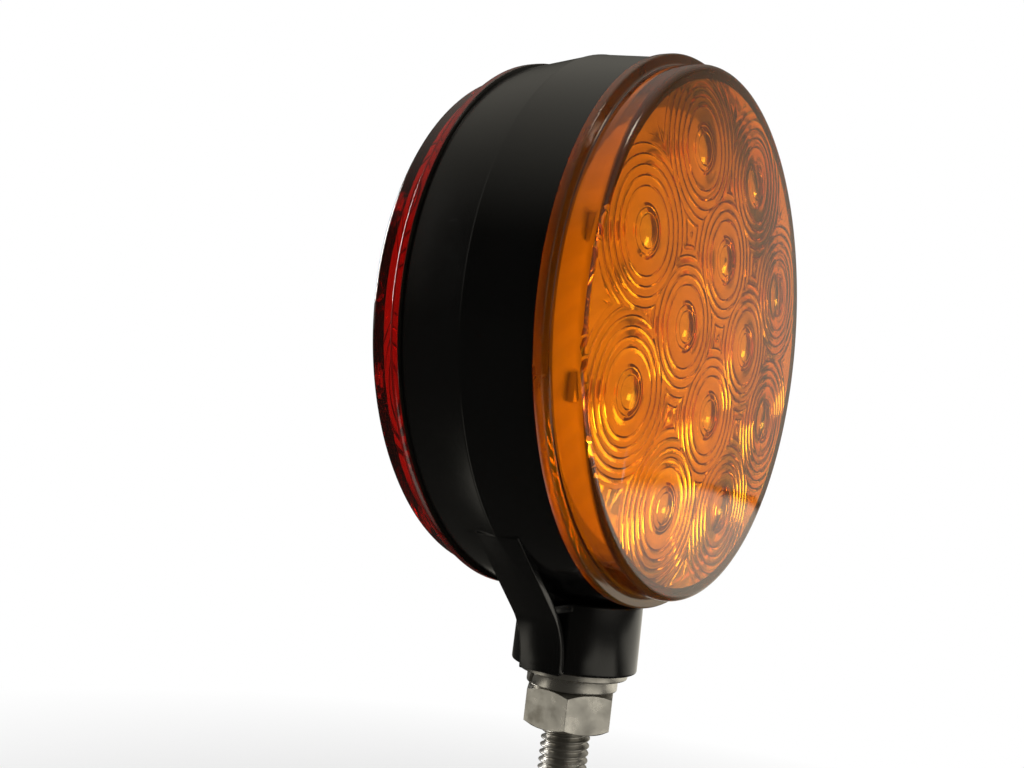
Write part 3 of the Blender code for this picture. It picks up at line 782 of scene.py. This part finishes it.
def optic_rise(distance, knots):
    for (r0, h0), (r1, h1) in zip(knots, knots[1:]):
        if distance <= r1:
            return h0 + (h1 - h0) * (distance - r0) / (r1 - r0)
    return 0.0


def nearest(place, leds):
    """Distance to the nearest LED's axis."""
    return min((place - led).length for led in leds)


def angle_of(place):
    return math.atan2(place.y, place.x) % FULL


def turn_of(place):
    """Angle round the axis, from just under nought to just under a full turn."""
    nudge = 1e-5
    return (math.atan2(place.y, place.x) + nudge) % FULL - nudge


def circle_crossings(first, second, radius_1, radius_2):
    """Angles round the first circle where the second one crosses it."""
    away = second - first
    reach = away.length
    if reach < 1e-9 or reach > radius_1 + radius_2 or reach < abs(radius_1 - radius_2):
        return []
    cosine = (radius_1**2 + reach**2 - radius_2**2) / (2 * radius_1 * reach)
    spread = math.acos(max(-1.0, min(1.0, cosine)))
    middle_angle = math.atan2(away.y, away.x)
    return [(middle_angle - spread) % FULL, (middle_angle + spread) % FULL]


def merged_angles(regular, special, apart):
    """The special angles, and the regular ones that aren't too close to one of them."""
    marks = []
    for angle in sorted(special):
        if not marks or angle - marks[-1] > 1e-5:
            marks.append(angle)

    def free(angle):
        return all(apart < abs(angle - mark) < FULL - apart for mark in marks)

    return sorted(marks + [angle for angle in regular if free(angle)])


class Drawing:
    """Points and lines in the plane of the face, in millimetres."""

    def __init__(self):
        self.points = []
        self.lines = []
        self.index = {}

    def point(self, place):
        """The point's number. Places within about a micrometre are one point."""
        x, y = round(place.x * 1000), round(place.y * 1000)
        for across in (0, -1, 1):
            for up in (0, -1, 1):
                if (x + across, y + up) in self.index:
                    return self.index[x + across, y + up]
        self.index[x, y] = len(self.points)
        self.points.append(place.copy())
        return self.index[x, y]

    def line(self, a, b):
        first, second = self.point(a), self.point(b)
        if first != second:
            self.lines.append((first, second))


def optics_drawing(leds, edge_r):
    """Rings round each LED up to the ones round its neighbours, the lines between, and the edge."""
    drawing = Drawing()
    radii = [radius / MM for radius, _ in optic_knots() if radius > 0]
    edge_angles = []
    seams = {}
    for i, led in enumerate(leds):
        drawing.point(led)
        for radius in radii:
            special = circle_crossings(led, Vector((0, 0)), radius, edge_r)
            places = [led + radius * heading(angle) for angle in special]
            edge_angles += [angle_of(p) for p in places if nearest(p, leds) > radius - NEAR]
            for j, other in enumerate(leds):
                for angle in circle_crossings(led, other, radius, radius):
                    special.append(angle)
                    place = led + radius * heading(angle)
                    if nearest(place, leds) > radius - NEAR and place.length < edge_r:
                        seams.setdefault((min(i, j), max(i, j)), []).append(place)
            add_ring(drawing, leds, led, radius, special, edge_r)
    add_seams(drawing, leds, seams, edge_r, edge_angles)
    angles = merged_angles(regular_angles(192), edge_angles, 0.006)
    rim = [edge_r * heading(angle) for angle in angles]
    for a, b in zip(rim, rim[1:] + rim[:1]):
        drawing.line(a, b)
    return drawing


def add_ring(drawing, leds, led, radius, special, edge_r):
    """Draws the parts of a ring that are nearer to its own LED than to another."""
    angles = merged_angles(regular_angles(RING_STEPS), special, 0.01)
    for a, b in zip(angles, angles[1:] + [angles[0] + FULL]):
        between = led + radius * heading(0.5 * (a + b))
        if nearest(between, leds) >= radius - NEAR and between.length <= edge_r:
            drawing.line(led + radius * heading(a), led + radius * heading(b))


def add_seams(drawing, leds, seams, edge_r, edge_angles):
    """Draws the straight lines on which two LEDs' rings meet."""
    corners = triple_points(leds, edge_r)
    for (i, j), places in seams.items():
        along = (leds[j] - leds[i]).orthogonal().normalized()
        half_way = (leds[i] + leds[j]) / 2
        places += [place for place, owners in corners if i in owners and j in owners]
        # The line's ends on the face's edge.
        foot = half_way - along * half_way.dot(along)
        for sign in (-1, 1):
            place = foot + sign * along * math.sqrt(edge_r**2 - foot.length_squared)
            if nearest(place, leds) > (place - leds[i]).length - NEAR:
                places.append(place)
                edge_angles.append(angle_of(place))
        places.sort(key=along.dot)
        for a, b in zip(places, places[1:]):
            between = (a + b) / 2
            if nearest(between, leds) > (between - leds[i]).length - NEAR:
                drawing.line(a, b)


def triple_points(leds, edge_r):
    """Places with three or more nearest LEDs, as (place, the LEDs' numbers)."""
    found = []
    for owners in combinations(range(len(leds)), 3):
        place = equidistant(*(leds[k] for k in owners))
        if place is None or place.length > edge_r:
            continue
        if nearest(place, leds) > (place - leds[owners[0]]).length - NEAR:
            found.append((place, owners))
    return found


def equidistant(a, b, c):
    u, v = b - a, c - a
    cross = 2 * (u.x * v.y - u.y * v.x)
    if abs(cross) < 1e-6:
        return None
    x = (v.y * u.length_squared - u.y * v.length_squared) / cross
    y = (u.x * v.length_squared - v.x * u.length_squared) / cross
    return a + Vector((x, y))


def lens_outside():
    """From the face's centre over the edge, barrel and flange, then back in at the spigot."""
    back = DRUM_HALF + LENS_SEAT
    edge_r = BARREL_R - FACE_ROUND
    crown = [(edge_r * i / 12, outer_height(edge_r * i / 12)) for i in range(13)]
    shoulder = arc((edge_r, FACE_EDGE - FACE_ROUND), FACE_ROUND, 85, 0, 7)
    foot = arc((BARREL_R + FLANGE_FOOT, FLANGE_FRONT + FLANGE_FOOT), FLANGE_FOOT, 180, 270, 5)
    corner = arc((FLANGE_R - FLANGE_ROUND, FLANGE_FRONT - FLANGE_ROUND), FLANGE_ROUND, 90, 0, 5)
    heel = arc((FLANGE_R - SPIGOT_EASE, back + SPIGOT_EASE), SPIGOT_EASE, 0, -90, 3)
    tip = back - SPIGOT
    spigot = [(SPIGOT_R, back), (SPIGOT_R, tip + SPIGOT_EASE), (SPIGOT_R - SPIGOT_EASE, tip)]
    spigot += [(OPTIC_R + SPIGOT_EASE, tip), (OPTIC_R, tip + SPIGOT_EASE)]
    return crown + shoulder + foot + corner + heel + spigot


def add_optics(bm, leds):
    """The face's inner side, with its height over each point of the drawing."""
    knots = optic_knots()
    drawing = optics_drawing(leds, OPTIC_R / MM)
    flat, _, faces, *_ = delaunay_2d_cdt(drawing.points, drawing.lines, [], 0, 1e-5, True)
    inside = []
    for place in flat:
        rise = optic_rise(nearest(place, leds) * MM, knots)
        height = outer_height(place.length * MM) - WALL - rise
        inside.append(bm.verts.new((place.x * MM, place.y * MM, height)))
    for face in faces:
        bm.faces.new([inside[k] for k in face])


def make_lens(colour, side, finish):
    """One closed moulding: smooth outside, ring optics over each LED inside, sealed to the drum."""
    inward = looking(side).inverted()
    centres = [inward @ middle(f"{colour}_led_{number:02d}") for number in range(1, 13)]
    bm = bmesh.new()
    add_optics(bm, [Vector((centre.x, centre.y)) / MM for centre in centres])
    rim = {vert for edge in bm.edges if edge.is_boundary for vert in edge.verts}
    top = sorted(rim, key=lambda vert: turn_of(vert.co))
    low = lathe(bm, lens_outside(), [turn_of(vert.co) for vert in top], False)[-1]
    skin(bm, [top, low], False)
    seat = DRUM_HALF + LENS_SEAT + 0.05 * MM
    for face in bm.faces:
        if all(v.co.z < seat and v.co.xy.length > OPTIC_R + 0.1 * MM for v in face.verts):
            face.material_index = 1
    bm.transform(looking(side))
    lens = object_from(f"{colour}_lens_moulding", bm, [finish, SEAL], 22)
    finished(lens, f"{colour}_lens")


# ---- boards and components


def make_board(colour, side):
    back = BOARD_FRONT - BOARD_THICK
    disc = eased([(0, back), (BOARD_R, back), (BOARD_R, BOARD_FRONT), (0, BOARD_FRONT)], 0.15 * MM)
    holes = [rod(PILOT_R, 0, 20 * MM, 24, place) for place in post_places(side)]
    cuts = [("DIFFERENCE", hole) for hole in holes]
    base = turned(disc, 160, False, looking(side))
    board = carved(f"{colour}_board_laminate", base, cuts, [BOARD], 35)
    finished(board, f"{colour}_circuit_board")


def led_mesh():
    """A square package with a round cup, a domed lens and two solder pads."""
    base = BOARD_FRONT + SOLDER
    top = base + LED_THICK
    bm = bmesh.new()
    add_block(bm, (LED_SIDE, LED_SIDE, LED_THICK), (0, 0, base + LED_THICK / 2), 0.18 * MM)
    collar = [(2.35 * MM, top - 0.3 * MM), (2.35 * MM, top + 0.12 * MM)]
    collar += [(2.0 * MM, top + 0.12 * MM), (1.9 * MM, top - 0.3 * MM)]
    append(bm, turned(collar, 32))
    dome = [(0, top - 0.2 * MM), (DOME_R, top - 0.2 * MM), *arc((0, top), DOME_R, 0, 90, 8)]
    dome[-1] = (0, dome[-1][1])
    append(bm, turned(dome, 32, False), 1)
    for across in (-1, 1):
        centre = (across * (LED_SIDE / 2 - 0.1 * MM), 0, base + 0.1 * MM)
        add_block(bm, (0.7 * MM, 2.4 * MM, 0.24 * MM), centre, 0.08 * MM, 2)
    return mesh_from("led", bm)


def make_leds(colour, side, mesh):
    for number in range(1, 13):
        node = f"{colour}_led_{number:02d}"
        copy = mesh.copy()
        copy.transform(over(node, side))
        finished(link(f"{node}_package", copy, [LED_BODY, LED_DOME, TIN]), node)


def behind_board(bm, kind, node, side):
    """Puts a part on the board's back, its Z pointing away from the board."""
    back = BOARD_FRONT - BOARD_THICK - SOLDER
    turned_over = Matrix.Translation((0, 0, back)) @ Matrix.Rotation(math.pi, 4, "X")
    bm.transform(over(node, side) @ turned_over)
    finished(object_from(f"{node}_{kind}", bm, [CERAMIC, TIN]), node)


def make_resistor(node, side):
    """A chip resistor: a ceramic body between two tinned end caps."""
    long, tall, wide = span(node)
    cap = 0.7 * MM
    bm = bmesh.new()
    add_block(bm, (long - 1.1 * cap, wide, tall - 0.05 * MM), (0, 0, tall / 2), 0.06 * MM)
    for end in (-1, 1):
        centre = (end * (long - cap) / 2, 0, tall / 2)
        add_block(bm, (cap, wide + 0.02 * MM, tall), centre, 0.12 * MM, 1)
    behind_board(bm, "chip", node, side)


def make_diode(node, side):
    """A rectifier diode: a tapered body with a bent tab at each end."""
    long, tall, wide = span(node)
    tab = 0.35 * MM
    bm = bmesh.new()
    add_block(bm, (long - tab, wide, tall - 0.1 * MM), (0, 0, tall / 2), 0.15 * MM)
    for vert in bm.verts:
        if vert.co.z > tall / 2:
            vert.co.x *= 0.9
            vert.co.y *= 0.88
    for end in (-1, 1):
        centre = (end * (long - tab) / 2, 0, tall / 4)
        add_block(bm, (tab, wide / 2, tall / 2), centre, 0.08 * MM, 1)
    behind_board(bm, "package", node, side)


def make_screws(colour, side):
    """Pan-head screws with a cross recess."""
    seat = BOARD_FRONT + SCREW_SEAT
    top = seat + SCREW_HEAD_HEIGHT
    profile = [(0, top)]
    for angle in (math.radians(degrees) for degrees in (20, 40, 60, 78, 90)):
        height = seat + SCREW_HEAD_HEIGHT * (0.45 + 0.55 * math.cos(angle))
        profile.append((SCREW_HEAD_R * math.sin(angle), height))
    tip = seat - SCREW_LENGTH
    profile += [(SCREW_HEAD_R, seat), (SCREW_R, seat), (SCREW_R, tip), (0, tip - SCREW_R)]
    for number, place in enumerate(post_places(side), start=1):
        cuts = []
        for turn in (RECESS_TURN, RECESS_TURN + math.pi / 2):
            slot = bmesh.new()
            add_block(slot, RECESS, (0, 0, top), 0.0, turn=Matrix.Rotation(turn, 4, "Z"))
            cuts.append(("DIFFERENCE", slot))
        name = f"{colour}_board_screw_{number}"
        screw = carved(f"{name}_pan_head", turned(profile, 40, False), cuts, [STEEL])
        screw.data.transform(place)
        finished(screw, name)


# ---- stud and hardware


def ridge(clearance):
    """(rise, radius) across one thread, from root to crest and back, its corners eased."""
    root = THREAD_ROOT_R + clearance
    crest = THREAD_R + clearance
    near = root + 0.06 * MM
    high = crest - 0.05 * MM
    shares = (0.03, 0.08, 0.17, 0.22, 0.54, 0.585, 0.665, 0.71)
    radii = (near, root, root, near, high, crest, crest, high)
    return [(share * PITCH, radius) for share, radius in zip(shares, radii)]


def threaded_rod(low, turns, clearance, steps=72):
    """A solid rod with one right-hand helical thread, which fades in and out over its end turns."""
    shape = ridge(clearance)
    root = THREAD_ROOT_R + clearance
    bm = bmesh.new()
    columns = []
    for step in range(steps):
        points = [(root, low)]
        for along in (turn + step / steps for turn in range(turns)):
            fade = min(1.0, along, turns - along)
            points += [(root + fade * (r - root), low + along * PITCH + rise) for rise, r in shape]
        points.append((root, low + (turns + 1) * PITCH))
        columns.append([bm.verts.new(polar(r, FULL * step / steps, h)) for r, h in points])
    for here, following in zip(columns, columns[1:]):
        for k in range(len(here) - 1):
            bm.faces.new((here[k], following[k], following[k + 1], here[k + 1]))
    # Round the last column to the first, each corner meets the one that is a turn further up.
    last, first = columns[-1], columns[0]
    corners = len(shape)
    top = len(last) - 1
    bm.faces.new((last[0], *first[: corners + 2], last[1]))
    for k in range(1, top - corners - 1):
        bm.faces.new((last[k], first[k + corners], first[k + corners + 1], last[k + 1]))
    bm.faces.new((*last[top - corners - 1 :], first[top], first[top - 1]))
    bm.faces.new([column[0] for column in columns])
    bm.faces.new([column[top] for column in columns])
    bmesh.ops.recalc_face_normals(bm, faces=bm.faces)
    bmesh.ops.triangulate(bm, faces=[face for face in bm.faces if len(face.verts) > 4])
    return bm


def cone(low_r, high_r, low, high, steps):
    """A solid cone frustum, to cut a chamfer at a bore's mouth."""
    return turned([(0, low), (low_r, low), (high_r, high), (0, high)], steps, False)


def make_stud():
    thread_top = STUD_END + (STUD_TURNS + 1) * PITCH
    out, inner = STUD_END - 1 * MM, STUD_END + 0.6 * MM
    steps = (
        ("UNION", rod(THREAD_R, thread_top - 0.2 * MM, HEAD_BOTTOM + 1 * MM, 72)),
        ("UNION", hexagon(HEAD_FLATS, HEAD_BOTTOM, STUD_HEAD_TOP)),
        ("DIFFERENCE", rod(STUD_BORE_R, -40 * MM, 20 * MM, 64)),
        ("DIFFERENCE", cone(STUD_BORE_R + 1.4 * MM, STUD_BORE_R - 0.2 * MM, out, inner, 64)),
    )
    stud = carved("threaded_stud", threaded_rod(STUD_END, STUD_TURNS, 0.0), steps, [ZINC])
    finished(stud, "mounting_stud")


def make_flat_washer():
    """Punched washer: rolled over at its upper edge, sharper at the lower one."""
    low, high = ends("flat_washer")
    profile = [(WASHER_BORE_R, low), (WASHER_R - 0.12 * MM, low), (WASHER_R, low + 0.15 * MM)]
    profile += [(WASHER_R, high - 0.4 * MM), (WASHER_R - 0.1 * MM, high - 0.14 * MM)]
    profile += [(WASHER_R - 0.42 * MM, high), (WASHER_BORE_R + 0.15 * MM, high)]
    profile.append((WASHER_BORE_R, high - 0.2 * MM))
    bm = turned(eased(profile, 0.15 * MM, 2, True), 144)
    finished(object_from("plain_washer", bm, [ZINC]), "flat_washer", "washers")


def make_lock_washer():
    """Split spring washer: a wedge-shaped section with a slanted gap, its ends a little apart."""
    low, high = ends("lock_washer")
    wedge = 0.04 * MM
    section = [(WASHER_BORE_R, low + wedge), (LOCK_R, low), (LOCK_R, high), (WASHER_BORE_R, high - wedge)]
    section = eased(section, 0.3 * MM, 4, True)
    half_gap = SLIT_HALF / (0.5 * (WASHER_BORE_R + LOCK_R))
    lean = math.tan(SLIT_LEAN)
    steps = 120
    bm = bmesh.new()
    loops = []
    for i in range(steps + 1):
        along = SLIT_ANGLE + half_gap + i / steps * (FULL - 2 * half_gap)
        slants = [lean * (height - (low + high) / 2) / radius for radius, height in section]
        places = [polar(r, along + slant, h) for (r, h), slant in zip(section, slants)]
        loops.append([bm.verts.new(place) for place in places])
    skin(bm, loops)
    finished(object_from("spring_washer", bm, [ZINC]), "lock_washer", "washers")


def make_nut():
    low, top = ends("hex_nut")
    past = 0.01 * MM
    corner_r = NUT_FLATS / math.sqrt(3) + 0.1 * MM
    face_r = NUT_FLATS / 2 - NUT_FACE_INSET
    drop = (corner_r - face_r) * math.tan(NUT_CHAMFER)
    cones = [(0, top + past), (face_r, top + past), (corner_r, top - drop)]
    cones += [(corner_r, low + drop), (face_r, low - past), (0, low - past)]
    turns_below = math.floor((low - STUD_END) / PITCH) - 1
    thread_low = STUD_END + turns_below * PITCH
    turns = math.ceil((top - thread_low) / PITCH) + 1
    mouth_r = THREAD_R + THREAD_CLEARANCE + 0.25 * MM
    wide, narrow = mouth_r + 0.5 * MM, mouth_r - 1.0 * MM
    steps = (
        ("INTERSECT", turned(cones, 144, False)),
        ("DIFFERENCE", threaded_rod(thread_low, turns, THREAD_CLEARANCE)),
        ("DIFFERENCE", cone(wide, narrow, low - 0.5 * MM, low + 1.0 * MM, 72)),
        ("DIFFERENCE", cone(wide, narrow, top + 0.5 * MM, top - 1.0 * MM, 72)),
    )
    nut = carved("stud_nut", hexagon(NUT_FLATS, low, top, NUT_TURN), steps, [ZINC], 28)
    finished(nut, "hex_nut", "nut")


# ---- wires


def smooth_path(points, per_span=8):
    """Points along a Catmull-Rom curve through the given points."""
    points = [Vector(point) for point in points]
    padded = [2 * points[0] - points[1], *points, 2 * points[-1] - points[-2]]
    path = []
    for a, b, c, d in zip(padded, padded[1:], padded[2:], padded[3:]):
        for i in range(per_span):
            t = i / per_span
            linear = (c - a) * t
            square = (2 * a - 5 * b + 4 * c - d) * t**2
            cube = (3 * b - a - 3 * c + d) * t**3
            path.append(0.5 * (2 * b + linear + square + cube))
    return path + [points[-1]]


def add_tube(bm, path, radius, steps=20, tip=0.0):
    """A round tube along a path, closed at both ends and narrower there by the tip's ease."""
    side = Vector((1, 0, 0))
    rings = []
    last = len(path) - 1
    for i, place in enumerate(path):
        along = (path[min(i + 1, last)] - path[max(i - 1, 0)]).normalized()
        side = (side - along * side.dot(along)).normalized()
        other = along.cross(side)
        here = radius - tip if i in (0, last) else radius
        turns = [math.cos(a) * side + math.sin(a) * other for a in regular_angles(steps)]
        rings.append([bm.verts.new(place + here * turn) for turn in turns])
    skin(bm, rings)


def make_insulation(name, path, finish):
    """The wire's insulation, with a point added near each end so that its ends are rounded."""
    start = (path[1] - path[0]).normalized() * WIRE_EASE
    end = (path[-2] - path[-1]).normalized() * WIRE_EASE
    path = [path[0], path[0] + start, *path[1:-1], path[-1] + end, path[-1]]
    bm = bmesh.new()
    add_tube(bm, path, WIRE_R, 24, WIRE_EASE)
    finished(object_from(f"{name}_insulation", bm, [finish], 40), name)


def lead_path(side, across, spot, end):
    """From the board's back down the partition, through the stud, then swaying out to its end."""
    board_back = BOARD_FRONT - BOARD_THICK
    beside = side * (PARTITION / 2 + WIRE_R + WIRE_FREE)
    top = LAMP.z + SOLDERED_AT
    points = [
        (across, side * (board_back - WIRE_FREE), top),
        (across, side * (board_back - 3 * WIRE_R), top - 0.5 * MM),
        (across, beside, top - 4 * WIRE_R),
        (across, beside, top - 7 * WIRE_R),
    ]
    x, y, _ = spot
    in_stud = (LAMP.z - DRUM_R + 1.5 * WIRE_R, HEAD_BOTTOM, STUD_END + 2 * MM)
    points += [(x, y, height) for height in in_stud]
    start = STUD_END - 3 * MM
    for part in (0.0, 0.2, 0.4, 0.6, 0.8, 1.0):
        sway = part**2 * (3 - 2 * part)
        height = start + part * (end.z - start)
        points.append((x + (end.x - x) * sway, y + (end.y - y) * sway, height))
    return smooth_path(points)


def add_strand(bm, number, end, length):
    """One of seven twisted strands, the last of which is the middle one."""
    out = STRAND_LAY if number < 6 else 0.0
    uneven = 0.15 * MM * math.sin(number * 2.1)
    path = []
    for i in range(25):
        share = i / 24
        x, y, _ = polar(out * (1 + 0.35 * share**3), number * math.pi / 3 + STRAND_TWIST * share)
        path.append(Vector((end.x + x, end.y + y, end.z - length * share + uneven * share)))
    add_tube(bm, path, STRAND_R, 10)


def make_lead(name, side, across, degrees, finish):
    bare_end = name + "_bare_end"
    end = middle(bare_end)
    end.z = ends(bare_end)[1]
    spot = polar(WIRE_SPREAD, math.radians(degrees))
    make_insulation(name, lead_path(side, across, spot, end), finish)
    strands = bmesh.new()
    for number in range(7):
        add_strand(strands, number, end, span(bare_end).z)
    finished(object_from(f"{name}_strands", strands, [TIN], 50), bare_end)


def make_wires():
    make_lead("amber_wire", -1, 0.0, 270, YELLOW)
    make_lead("red_wire", 1, WIRES_APART, 30, RED_WIRE)
    make_lead("ground_wire", 1, -WIRES_APART, 150, WHITE)
    jumper = middle("ground_jumper")
    reach = span("ground_jumper").y / 2
    points = [(jumper.x, y, jumper.z) for y in (-reach, -reach / 3, reach / 3, reach)]
    make_insulation("ground_jumper", smooth_path(points), WHITE)


def make_lamp():
    make_housing()
    led = led_mesh()
    for (colour, side), finish in zip(SIDES, (AMBER_LENS, RED_LENS)):
        make_lens(colour, side, finish)
        make_board(colour, side)
        make_leds(colour, side, led)
        make_resistor(f"{colour}_resistor_1", side)
        make_resistor(f"{colour}_resistor_2", side)
        make_diode(f"{colour}_rectifier_diode", side)
        make_screws(colour, side)
    bpy.data.meshes.remove(led)
    make_stud()
    make_flat_washer()
    make_lock_washer()
    make_nut()
    make_wires()


# ---- studio

FLOOR_R = 3.0
DARK_FLOOR = 0.045  # light of the floor as polished surfaces mirror it
# Pale patches on that floor: left, right, front, rear, width of their soft edge, light
RIGHT_PATCH = (0.25, 2.6, -1.2, 0.5, 0.25, 0.9)
FRONT_PATCH = (-0.4, 0.2, -0.78, -0.28, 0.08, 0.9)
WARM = (1.0, 0.95, 0.82)
CARD = 1.0  # light of the card that the drum's lower side and the nut mirror
CARD_SIZE = (170.0 * MM, 60.0 * MM)
CARD_AT = (-92.0 * MM, 78.0 * MM, -45.0 * MM)
CARD_TURN = math.atan2(-32.0, 75.0)
AMBIENT = 0.035
# Soft patches of light round the lamp: heading, full within, nothing past (degrees), light
OVERHEAD = ((0.1, 0.0, 1.0), 5, 70, 0.62)
BESIDE = ((0.97, -0.15, 0.1), 6, 30, 0.45)
GLINT = ((0.04, -0.57, 0.83), 3, 9, 9.0)  # which only polished surfaces mirror
BEHIND = ((-0.05, 1.0, 0.2), 8, 30, 0.5)
BACKDROP = ((0.85, 0.53, -0.05), 15, 50, 0.8)  # which is seen only through the lenses
FRONT = ((-0.1, -1.0, 0.25), 8, 42, 1.8)
POLISH = 0.2  # share of the front light that polished surfaces mirror
CLEAR = 0.2  # share of it that is seen through the lenses
KEY = ((0.22, -0.28, LAMP.z - 0.1), (0.16, 0.12), 1.15)  # place, size, watts
BACK = ((0.05, 0.9, 0.3), (0.45, 0.35), 4.0)
CAMERA_AZIMUTH = math.radians(-58.09)
CAMERA_ELEVATION = math.radians(-2.5)
CAMERA_ROLL = math.radians(6.79)
CAMERA_LENS = 41.11  # mm, on a sensor 36 mm wide
CAMERA_AT = Vector((-212.96, -110.05, 44.44 - 68.0)) * MM + LAMP


def make_floor():
    """White far off, plain grey near by. Polished surfaces mirror it dark, with two pale patches."""
    made, nodes, output = blank_material("studio_floor")
    paint = nodes.add("ShaderNodeBsdfPrincipled", Base_Color=(0.82, 0.82, 0.82), Roughness=0.6)
    glow = nodes.add("ShaderNodeEmission", Color=(1, 1, 1), Strength=1.0)
    path = nodes.add("ShaderNodeLightPath").outputs
    reach = nodes.vector("LENGTH", nodes.place()).outputs["Value"]
    far = nodes.times(nodes.span(reach, 0.12, 0.5), path["Is Camera Ray"])
    x, y, _ = nodes.axes()
    pale = DARK_FLOOR
    for left, right, front, rear, soft, strength in (RIGHT_PATCH, FRONT_PATCH):
        sides = nodes.times(nodes.span(x, left, left + soft), nodes.span(x, right, right - soft))
        depth = nodes.times(nodes.span(y, front, front + soft), nodes.span(y, rear, rear - soft))
        pale = nodes.plus(nodes.times(nodes.times(sides, depth), strength), pale)
    cards = nodes.add("ShaderNodeEmission", Color=WARM, Strength=pale)
    seen = nodes.either(far, paint, glow)
    nodes.fill(output, Surface=nodes.either(path["Is Glossy Ray"], seen, cards))
    bm = bmesh.new()
    bmesh.ops.create_circle(bm, cap_ends=True, segments=96, radius=FLOOR_R)
    bm.transform(Matrix.Translation((0, 0, CAD_BOX[0].z - 1 * MM)))
    object_from("studio_floor", bm, [made])


def make_card():
    """A soft glowing card beside the pedestal, which only polished surfaces show."""
    made, nodes, output = blank_material("studio_card")
    x, _, z = nodes.axes()
    fade = CARD
    for across, size in zip((x, z), CARD_SIZE):
        fade = nodes.times(nodes.span(nodes.math("ABSOLUTE", across), size / 2, size / 4), fade)
    nodes.fill(output, Surface=nodes.add("ShaderNodeEmission", Color=WARM, Strength=fade))
    wide, tall = CARD_SIZE
    corners = [(-0.5, -0.5), (0.5, -0.5), (0.5, 0.5), (-0.5, 0.5)]
    bm = bmesh.new()
    bm.faces.new([bm.verts.new((x * wide, 0, z * tall)) for x, z in corners])
    card = link("studio_card", mesh_from("studio_card", bm), [made])
    card.location = CARD_AT
    card.rotation_euler = (0, 0, CARD_TURN)
    for kind in ("camera", "diffuse", "transmission", "shadow"):
        setattr(card, f"visible_{kind}", False)


def make_world():
    world = bpy.data.worlds.new("studio")
    world.use_nodes = True
    bpy.context.scene.world = world
    nodes = Nodes(world.node_tree)
    direction = nodes.add("ShaderNodeTexCoord").outputs["Generated"]
    path = nodes.add("ShaderNodeLightPath").outputs
    seen, glossy, through = (path[f"Is {kind} Ray"] for kind in ("Camera", "Glossy", "Transmission"))
    mirrored = nodes.span(glossy, 0.0, 1.0, 1.0, POLISH)
    dimmed = nodes.times(mirrored, nodes.span(through, 0.0, 1.0, 1.0, CLEAR))
    patches = (OVERHEAD, BESIDE, GLINT, BEHIND, BACKDROP, FRONT)
    light = AMBIENT
    for patch, share in zip(patches, (1.0, 1.0, glossy, 1.0, through, dimmed)):
        towards, tight, wide, strength = patch
        dot = nodes.vector("DOT_PRODUCT", direction, Vector(towards).normalized())
        low, high = math.cos(math.radians(wide)), math.cos(math.radians(tight))
        falloff = nodes.math("POWER", nodes.span(dot.outputs["Value"], low, high), 1.6)
        light = nodes.plus(nodes.times(nodes.times(falloff, strength), share), light)
    strength = nodes.plus(nodes.times(light, nodes.math("SUBTRACT", 1.0, seen)), seen)
    tint = nodes.mix(glossy, (1, 1, 1), WARM)
    glow = nodes.add("ShaderNodeBackground", Color=tint, Strength=strength)
    nodes.fill(nodes.add("ShaderNodeOutputWorld"), Surface=glow)


def make_light(name, place, size, power):
    data = bpy.data.lights.new(name, "AREA")
    data.shape = "RECTANGLE"
    data.size, data.size_y = size
    data.energy = power
    lamp = added(name, data)
    lamp.location = place
    lamp.rotation_mode = "QUATERNION"
    lamp.rotation_quaternion = (LAMP - Vector(place)).to_track_quat("-Z", "Y")
    return lamp


def make_camera():
    data = bpy.data.cameras.new("camera")
    data.lens = CAMERA_LENS
    data.sensor_width = 36.0
    data.clip_start, data.clip_end = 0.01, 20.0
    camera = added("camera", data)
    x, y, _ = polar(math.cos(CAMERA_ELEVATION), CAMERA_AZIMUTH - math.pi / 2)
    back = Vector((x, y, math.sin(CAMERA_ELEVATION)))
    level = (-back).to_track_quat("-Z", "Y").to_matrix().to_4x4()
    level = Matrix.Rotation(CAMERA_ROLL, 4, back) @ level
    camera.matrix_world = Matrix.Translation(CAMERA_AT) @ level
    bpy.context.scene.camera = camera


make_lamp()
make_floor()
make_card()
make_world()
make_light("key", *KEY).visible_glossy = False
make_light("back", *BACK)
make_camera()
bpy.context.scene.view_settings.view_transform = "Standard"
bpy.context.scene.view_settings.look = "None"
